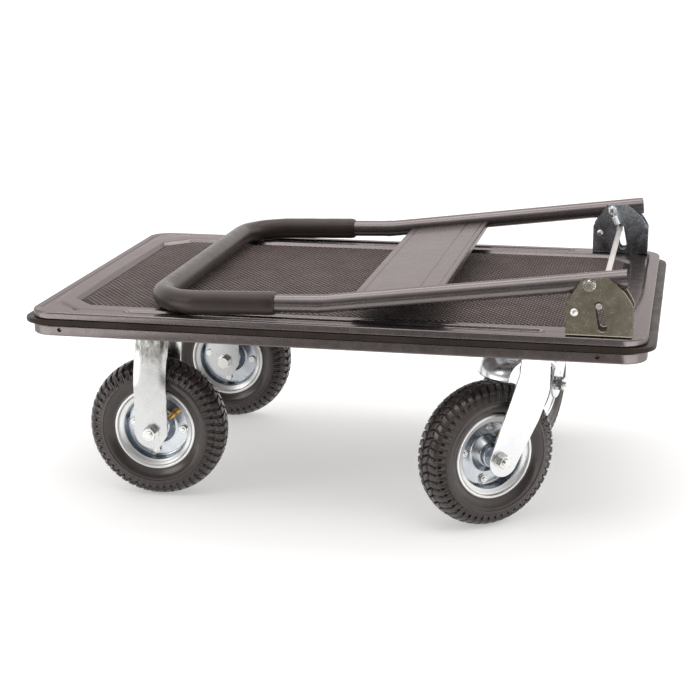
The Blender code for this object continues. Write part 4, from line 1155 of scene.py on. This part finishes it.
def barrel_profile():
    """The rim's deep wall, from the dish out to the foot of the flange, then the tyre side back."""
    face = [(0.0484, 0.0026), (0.0497, 0.0042), (0.0503, 0.0070), (0.0506, 0.0130), (0.0512, 0.0176)]
    tyre_side = [(0.0524, 0.0176), (0.0520, 0.0120), (0.0516, 0.0052), (0.0506, 0.0018), (0.0492, 0.0010)]
    return face + tyre_side


def flange_profile():
    """The rim's seat and its rolled edge, in a paler zinc than the dish as a painted highlight."""
    face = [(0.0511, 0.0172), (0.0520, 0.0184), (0.0538, 0.0192), (0.0575, 0.0204), (0.0588, 0.0216)]
    face += [(0.0597, 0.0230)]
    face += [(0.0620 + 0.0025 * cos(a), 0.0228 + 0.0022 * sin(a)) for a in np.radians(range(160, -40, -20))]
    return face + [(0.0634, 0.0208), (0.0600, 0.0196), (0.0545, 0.0180), (0.0528, 0.0172)]


def valve_shape():
    """A brass stem with its threaded cap, leaning in through the rim."""
    sections = [(0.0042, 0.0), (0.0042, 0.0012), (0.0030, 0.0018), (0.0030, 0.0070)]
    for ridge in range(5):
        start = 0.0070 + 0.0010 * ridge
        sections += [(0.0034, start), (0.0030, start + 0.0006)]
    sections += [(0.0040, 0.0124), (0.0043, 0.0132), (0.0043, 0.0215), (0.0038, 0.0236), (0.0020, 0.0244)]
    stem = lathe(sections, 20)
    start = Vector((0.0500 * cos(VALVE_ANGLE), -0.0125, 0.0500 * sin(VALVE_ANGLE)))
    inward = Vector((-cos(VALVE_ANGLE), -0.10, -sin(VALVE_ANGLE))).normalized()
    turn = Vector((0.0, 1.0, 0.0)).rotation_difference(inward).to_matrix().to_4x4()
    return placed(stem, Matrix.Translation(start) @ turn)


def hub_shapes():
    """The hub's sleeve with a shoulder at each end, and its two bearing seals."""
    sleeve = [(0.0062, 0.0362), (0.0095, 0.0362), (0.0098, 0.0368), (0.0136, 0.0368), (0.0146, 0.0362)]
    sleeve += [(0.0148, 0.0350), (0.0148, 0.0215), (0.0156, 0.0205), (0.0172, 0.0200), (0.0175, 0.0190)]
    sleeve += [(0.0175, 0.0120)]
    seal = [(0.0100, 0.0366), (0.0104, 0.0372), (0.0130, 0.0372), (0.0134, 0.0366)]
    seals = [turned([(r, side * y) for r, y in seal], 40) for side in (-1, 1)]
    return turned(both_sides(sleeve), 48), join(*seals)


def rim_bolts(first_turn):
    """The four bolts that clamp the rim's halves, each with a washer, a head and a nut."""
    bolt = join(
        lathe([(0.0072, -0.0017), (0.0076, -0.0020), (0.0076, -0.0026), (0.0072, -0.0029)]),
        hex_solid(0.0056, -0.0066, -0.0028),
        lathe([(0.0032, -0.0060), (0.0032, -0.0080), (0.0026, -0.0086)], 24),
        hex_solid(0.0056, 0.0017, 0.0056),
    )
    bolts = []
    for angle in (first_turn + quarter * pi / 2 for quarter in range(4)):
        middle = (0.0395 * cos(angle), 0.0, 0.0395 * sin(angle))
        bolts.append(shifted(placed(bolt, Matrix.Rotation(-angle * 1.7, 4, "Y")), middle))
    return join(*bolts)


def wheel_shapes(bolt_turn):
    """Everything on one wheel, by name, with the outer side towards -Y."""
    tyre = join(turned(tyre_profile(), 520, tread), nubs())
    profiles = (rim_profile(), barrel_profile(), flange_profile())
    dish, barrel, flange = (doubled(turned(profile, 120)) for profile in profiles)
    sleeve, seals = hub_shapes()
    return {
        "tyre_moulded": (tyre, TYRE, "tyre", ["tyre"], 28),
        "rim_dish": (dish, RIM_ZINC, "zinc", ["outer_rim", "inner_rim"], 50),
        # The barrel's darker zinc is painted shade.
        "rim_barrel": (barrel, SHADED_BARREL_ZINC, "zinc", [], 50),
        # The flange takes the pale rivet zinc, a lighter copy of the rim's zinc: painted highlight.
        "rim_flange": (flange, RIVET_ZINC, "zinc", [], 50),
        "hub_turned": (sleeve, RIM_ZINC, "zinc", ["hub"], 40),
        "hub_seals": (seals, SEAL, "tyre", [], 40),
        "rim_bolts": (rim_bolts(bolt_turn), BOLT_ZINC, "zinc", [], 32),
        "valve_stem": (valve_shape(), BRASS, "brass", ["valve"], 40),
    }


def wheel_matrix(name):
    """Takes a wheel's own frame, with its outer side towards -Y, to its place on the cart."""
    joint = JOINTS[f"{name}_wheel_spin"]
    axis = Vector(joint["axis"])
    move = Matrix.Translation(Vector(joint["pos_m"]))
    if "swivel" in name:
        return move @ Matrix.Rotation(atan2(-axis.x, axis.y), 4, "Z")
    return move @ Matrix.Scale(1 if name.startswith("near") else -1, 4, (0, 1, 0))


def make_wheels():
    for name in CASTERS:
        matrix = wheel_matrix(name)
        shapes = wheel_shapes(radians(-9 if "swivel" in name else -6))
        for kind, (part, material, slot, nodes, sharp) in shapes.items():
            replaced = [f"{name}_{node}" for node in nodes]
            body = f"{name}_wheel"
            piece(f"{name}_{kind}", placed(part, matrix), material, body, replaced, sharp)
        dressed(f"{name}_inner_tube", TUBE_RUBBER)


# Casters


def axle_shapes():
    """The axle bolt with its head on the inner side, and its nut and thread on the outer side."""
    out = AXLE_OUT
    washer = [(0.0118, out), (0.0122, out + 0.0002), (0.0122, out + 0.0014), (0.0118, out + 0.0016)]
    shank = lathe([(0.0058, -out), (0.0058, out)], 24)
    head = join(lathe(washer), hex_solid(0.0098, out + 0.0014, out + 0.0112), shank)
    outer_washer = lathe([(radius, -height) for radius, height in washer])
    nut = join(outer_washer, hex_solid(0.0098, -out - 0.0132, -out - 0.0014))
    spacer = [(0.0072, 0.0366), (0.0098, 0.0366), (0.0098, LEG_INNER), (0.0072, LEG_INNER)]
    spacers = [turned([(r, side * y) for r, y in spacer], 32) for side in (-1, 1)]
    return join(head, thread(0.0058, -out - 0.0125, -out - 0.0180), *spacers), nut


def make_axles():
    bolt, nut = axle_shapes()
    nut = placed(nut, Matrix.Rotation(NUT_TURN, 4, "Y"))
    for name in CASTERS:
        body = name if "swivel" in name else "deck"
        for kind, node, part in (("axle_turned", "axle_bolt", bolt), ("axle_lock_nut", "axle_nut", nut)):
            whole = placed(part, wheel_matrix(name))
            piece(f"{name}_{kind}", whole, BOLT_ZINC, body, [f"{name}_{node}"])


def across_sheet(low, high, columns=14):
    """Goes along the outer skin of a sheet from low to high and back along the inner one. Gives x,
    the skin (1 is outer) and how near x is to an edge, from 0 to 1 within 10 mm."""
    for skin in (1, 0):
        for column in range(columns + 1):
            share = column / columns if skin else 1 - column / columns
            x = low + (high - low) * share
            yield x, skin, max(0.0, 1 - min(x - low, high - x) / 0.010)


def leg(sides, low, high, base, dish, rows=40):
    """A pressed leg: sides(z) gives its edges in x, dish(z) how far the edges turn in to the wheel.
    base is its inner face, and it faces -Y."""
    loops = []
    for row in range(rows + 1):
        z = low + (high - low) * (row / rows) ** 1.35
        ways = across_sheet(*sides(z))
        loops.append([(x, -base - LEG_THICK * skin + dish(z) * edge**2, z) for x, skin, edge in ways])
    return grid(loops, caps=True)


def fixed_leg():
    """One leg of a fixed fork, in the wheel's frame: round below with a slanted corner."""
    half, lean, knee, high = 0.0255, 0.007, 0.090, 0.168

    def sides(z):
        slide = lean * float(smooth((z - knee) / (high - knee)))
        if z >= -0.0005:
            return -half + slide, half + slide
        drop = min(-z, half * 0.9999)
        right = half - max(0.0, (drop - 0.004) / (half - 0.004)) * half * 0.55
        return -((half**2 - drop**2) ** 0.5), right

    def dish(z):
        return LEG_DISH * float(smooth((z - 0.070) / 0.030))

    top = PLATE_TOP - WHEEL_RADIUS - 0.0105
    return leg(sides, -half, top, LEG_INNER, dish), top


def shoulder(x_low, x_high, z, radius, reach, dish, steps=8):
    """The bend from a leg into the flat top of a fork, and the flat up to reach from its middle."""
    spots = [(LEG_INNER, z, 0.0)]
    for angle in (pi / 2 * step / steps for step in range(1, steps + 1)):
        spots.append((LEG_INNER - radius * (1 - cos(angle)), z + radius * sin(angle), angle))
    spots.append((reach, z + radius, pi / 2))
    loops = []
    for y, height, angle in spots:
        ring = []
        for x, skin, edge in across_sheet(x_low, x_high):
            push = LEG_THICK * skin - dish * (1 - angle / (pi / 2)) * edge**2
            ring.append((x, -y - push * cos(angle), height + push * sin(angle)))
        loops.append(ring)
    return grid(loops, caps=True)


def bolt_heads(reach_x, reach_y, middle_x, z):
    """Four hex heads with washers, hanging from a face at z, reach_x and reach_y from its middle."""
    head = join(
        lathe([(0.0085, 0.0), (0.0088, 0.0002), (0.0088, 0.0014), (0.0084, 0.0016)]),
        hex_solid(0.0064, 0.0014, 0.0066),
        thread(0.0038, 0.0064, 0.0096),
    )
    places = [(middle_x + side_x * reach_x, side_y * reach_y, z) for side_x in (-1, 1) for side_y in (-1, 1)]
    return join(*(placed(head, Matrix.Translation(place) @ HANGING) for place in places))


def top_plate(middle_x, low, high):
    """A caster's mounting plate with rounded corners, in the wheel's frame turned to the deck."""
    half_x, half_y, corner = 0.0525, 0.0485, 0.008
    corners = [(-half_x, -half_y), (half_x, -half_y), (half_x, half_y), (-half_x, half_y)]
    outline = rounded([(x, y, corner) for x, y in corners])
    rows = [[(x + middle_x, y, z) for x, y in outline] for z in (low, high)]
    return grid(rows, caps=True)


def make_fixed_forks():
    """Two legs bent out of a plate that is bolted to the channel."""
    leg_part, top = fixed_leg()
    bend = shoulder(-0.0185, 0.0325, top, 0.0065, 0.030, LEG_DISH)
    high = PLATE_TOP - WHEEL_RADIUS - 0.0002
    low = high - 0.0041
    plate = worked(top_plate(FIXED_PLATE_X, low, high), (), 0.0006)
    fork = join(doubled(join(leg_part, bend)), plate)
    bolts = bolt_heads(0.040, 0.026, FIXED_PLATE_X, low)
    for name in CASTERS[:2]:
        matrix = wheel_matrix(name)
        piece(f"{name}_fork_bent", placed(fork, matrix), FORK_ZINC, "deck", [f"{name}_fork"], 40)
        piece(f"{name}_plate_bolts", placed(bolts, matrix), ZINC, "deck")


def swivel_leg():
    """One flat slanted leg of a swivel fork, in the wheel's frame."""
    top = CROWN_TOP - WHEEL_RADIUS - 0.0110
    corners = [(0.082, top, 0.0), (0.032, top, 0.0), (0.0295, 0.124, 0.030), (0.016, 0.090, 0.060)]
    corners += [(x, z, 0.0) for x, z in arc((0.004, -0.003), 0.0235, radians(160), radians(325), 22)]
    corners += [(0.064, 0.052, 0.060), (0.0815, 0.092, 0.050)]
    part = prism(rounded(corners), -LEG_INNER - LEG_THICK, -LEG_INNER)
    return worked(part, (), 0.0008), top


def crown_profile():
    """The fork's crown: flat round the kingpin, a short neck, then a bowl down over the wheel."""
    upper = [(0.0066, 0.0), (0.0280, 0.0), (0.0300, -0.0008), (0.0330, -0.0048), (0.0362, -0.0094)]
    upper += arc((0.0265, -0.0420), 0.0330, radians(65), 0.0, 12)
    upper += [(0.0601, -0.0424), (0.0597, -0.0432)]
    lower = [(0.0571, -0.0432)]
    lower += arc((0.0265, -0.0420), 0.0330 - BOWL_SHEET, 0.0, radians(65), 10)
    lower += [(0.0300, -0.0090), (0.0264, -CROWN_THICK), (0.0066, -CROWN_THICK)]
    return upper + lower


def swivel_fork():
    """Both legs with their bends and the crown, in the wheel's frame."""
    side, top = swivel_leg()
    crown_z = CROWN_TOP - WHEEL_RADIUS
    bend = shoulder(0.032, 0.082, top, crown_z - top - LEG_THICK, 0.022, 0.0)
    half = LEG_INNER + LEG_THICK / 2
    keep = prism([(-0.1, -0.1), (0.1, -0.1), (0.1, 0.1), (-0.1, 0.1)], -half, half)
    bowl = placed(turned(crown_profile(), 96), Matrix.Translation((TRAIL, 0.0, crown_z)) @ UPRIGHT)
    bowl = worked(bowl, [shifted(keep, (TRAIL, 0.0, crown_z))], 0.0, "INTERSECT")
    return join(doubled(join(side, bend)), bowl)


def swivel_plate(low):
    """The top plate with the outer race of the swivel bearing under it."""
    plate = worked(top_plate(0.0, low, PLATE_TOP), (), 0.0006)
    race = [(0.0120, low), (0.0375, low), (0.0390, low - 0.0014), (0.0390, low - 0.0034)]
    race += [(0.0372, low - 0.0052), (0.0330, low - 0.0074), (0.0120, low - 0.0074)]
    return join(plate, placed(turned(race, 72), UPRIGHT))


def kingpin(low, length):
    """The pin that a swivel fork turns on, with its nut and its thread below."""
    nut, shank = hex_solid(0.0093, 0.0, 0.0072), lathe([(0.0060, 0.004), (0.0060, length)], 24)
    pin = join(nut, shank, thread(0.0058, 0.0002, -0.0040))
    return placed(pin, Matrix.Translation((0.0, 0.0, low)) @ UPRIGHT)


def make_swivel_forks():
    plate_low = PLATE_TOP - 0.004
    fork, plate, bolts = swivel_fork(), swivel_plate(plate_low), bolt_heads(0.040, 0.034, 0.0, plate_low)
    for name in CASTERS[2:]:
        x, y, _ = JOINTS[f"{name}_turn"]["pos_m"]
        low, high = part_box(f"{name}_kingpin")
        pin = kingpin(low.z, high.z - low.z)
        parts = (
            ("plate_pressed", plate, [f"{name}_top_plate"], 40),
            ("plate_bolts", bolts, [], 32),
            ("kingpin_turned", pin, [f"{name}_kingpin"], 32),
        )
        whole = placed(fork, wheel_matrix(name))
        piece(f"{name}_fork_bent", whole, ZINC, name, [f"{name}_fork"], 40)
        for kind, part, nodes, sharp in parts:
            piece(f"{name}_{kind}", shifted(part, (x, y, 0.0)), ZINC, "deck", nodes, sharp)


make_stage()
make_pan()
make_mat()
make_bumper()
for channel in ("fixed_end_channel", "swivel_end_channel"):
    bevelled_node(channel, PAINT, 0.0006)
make_brackets()
make_hinge_fasteners()
make_rod()
make_springs()
make_tube()
make_grip()
make_panel()
make_wheels()
make_axles()
make_fixed_forks()
make_swivel_forks()
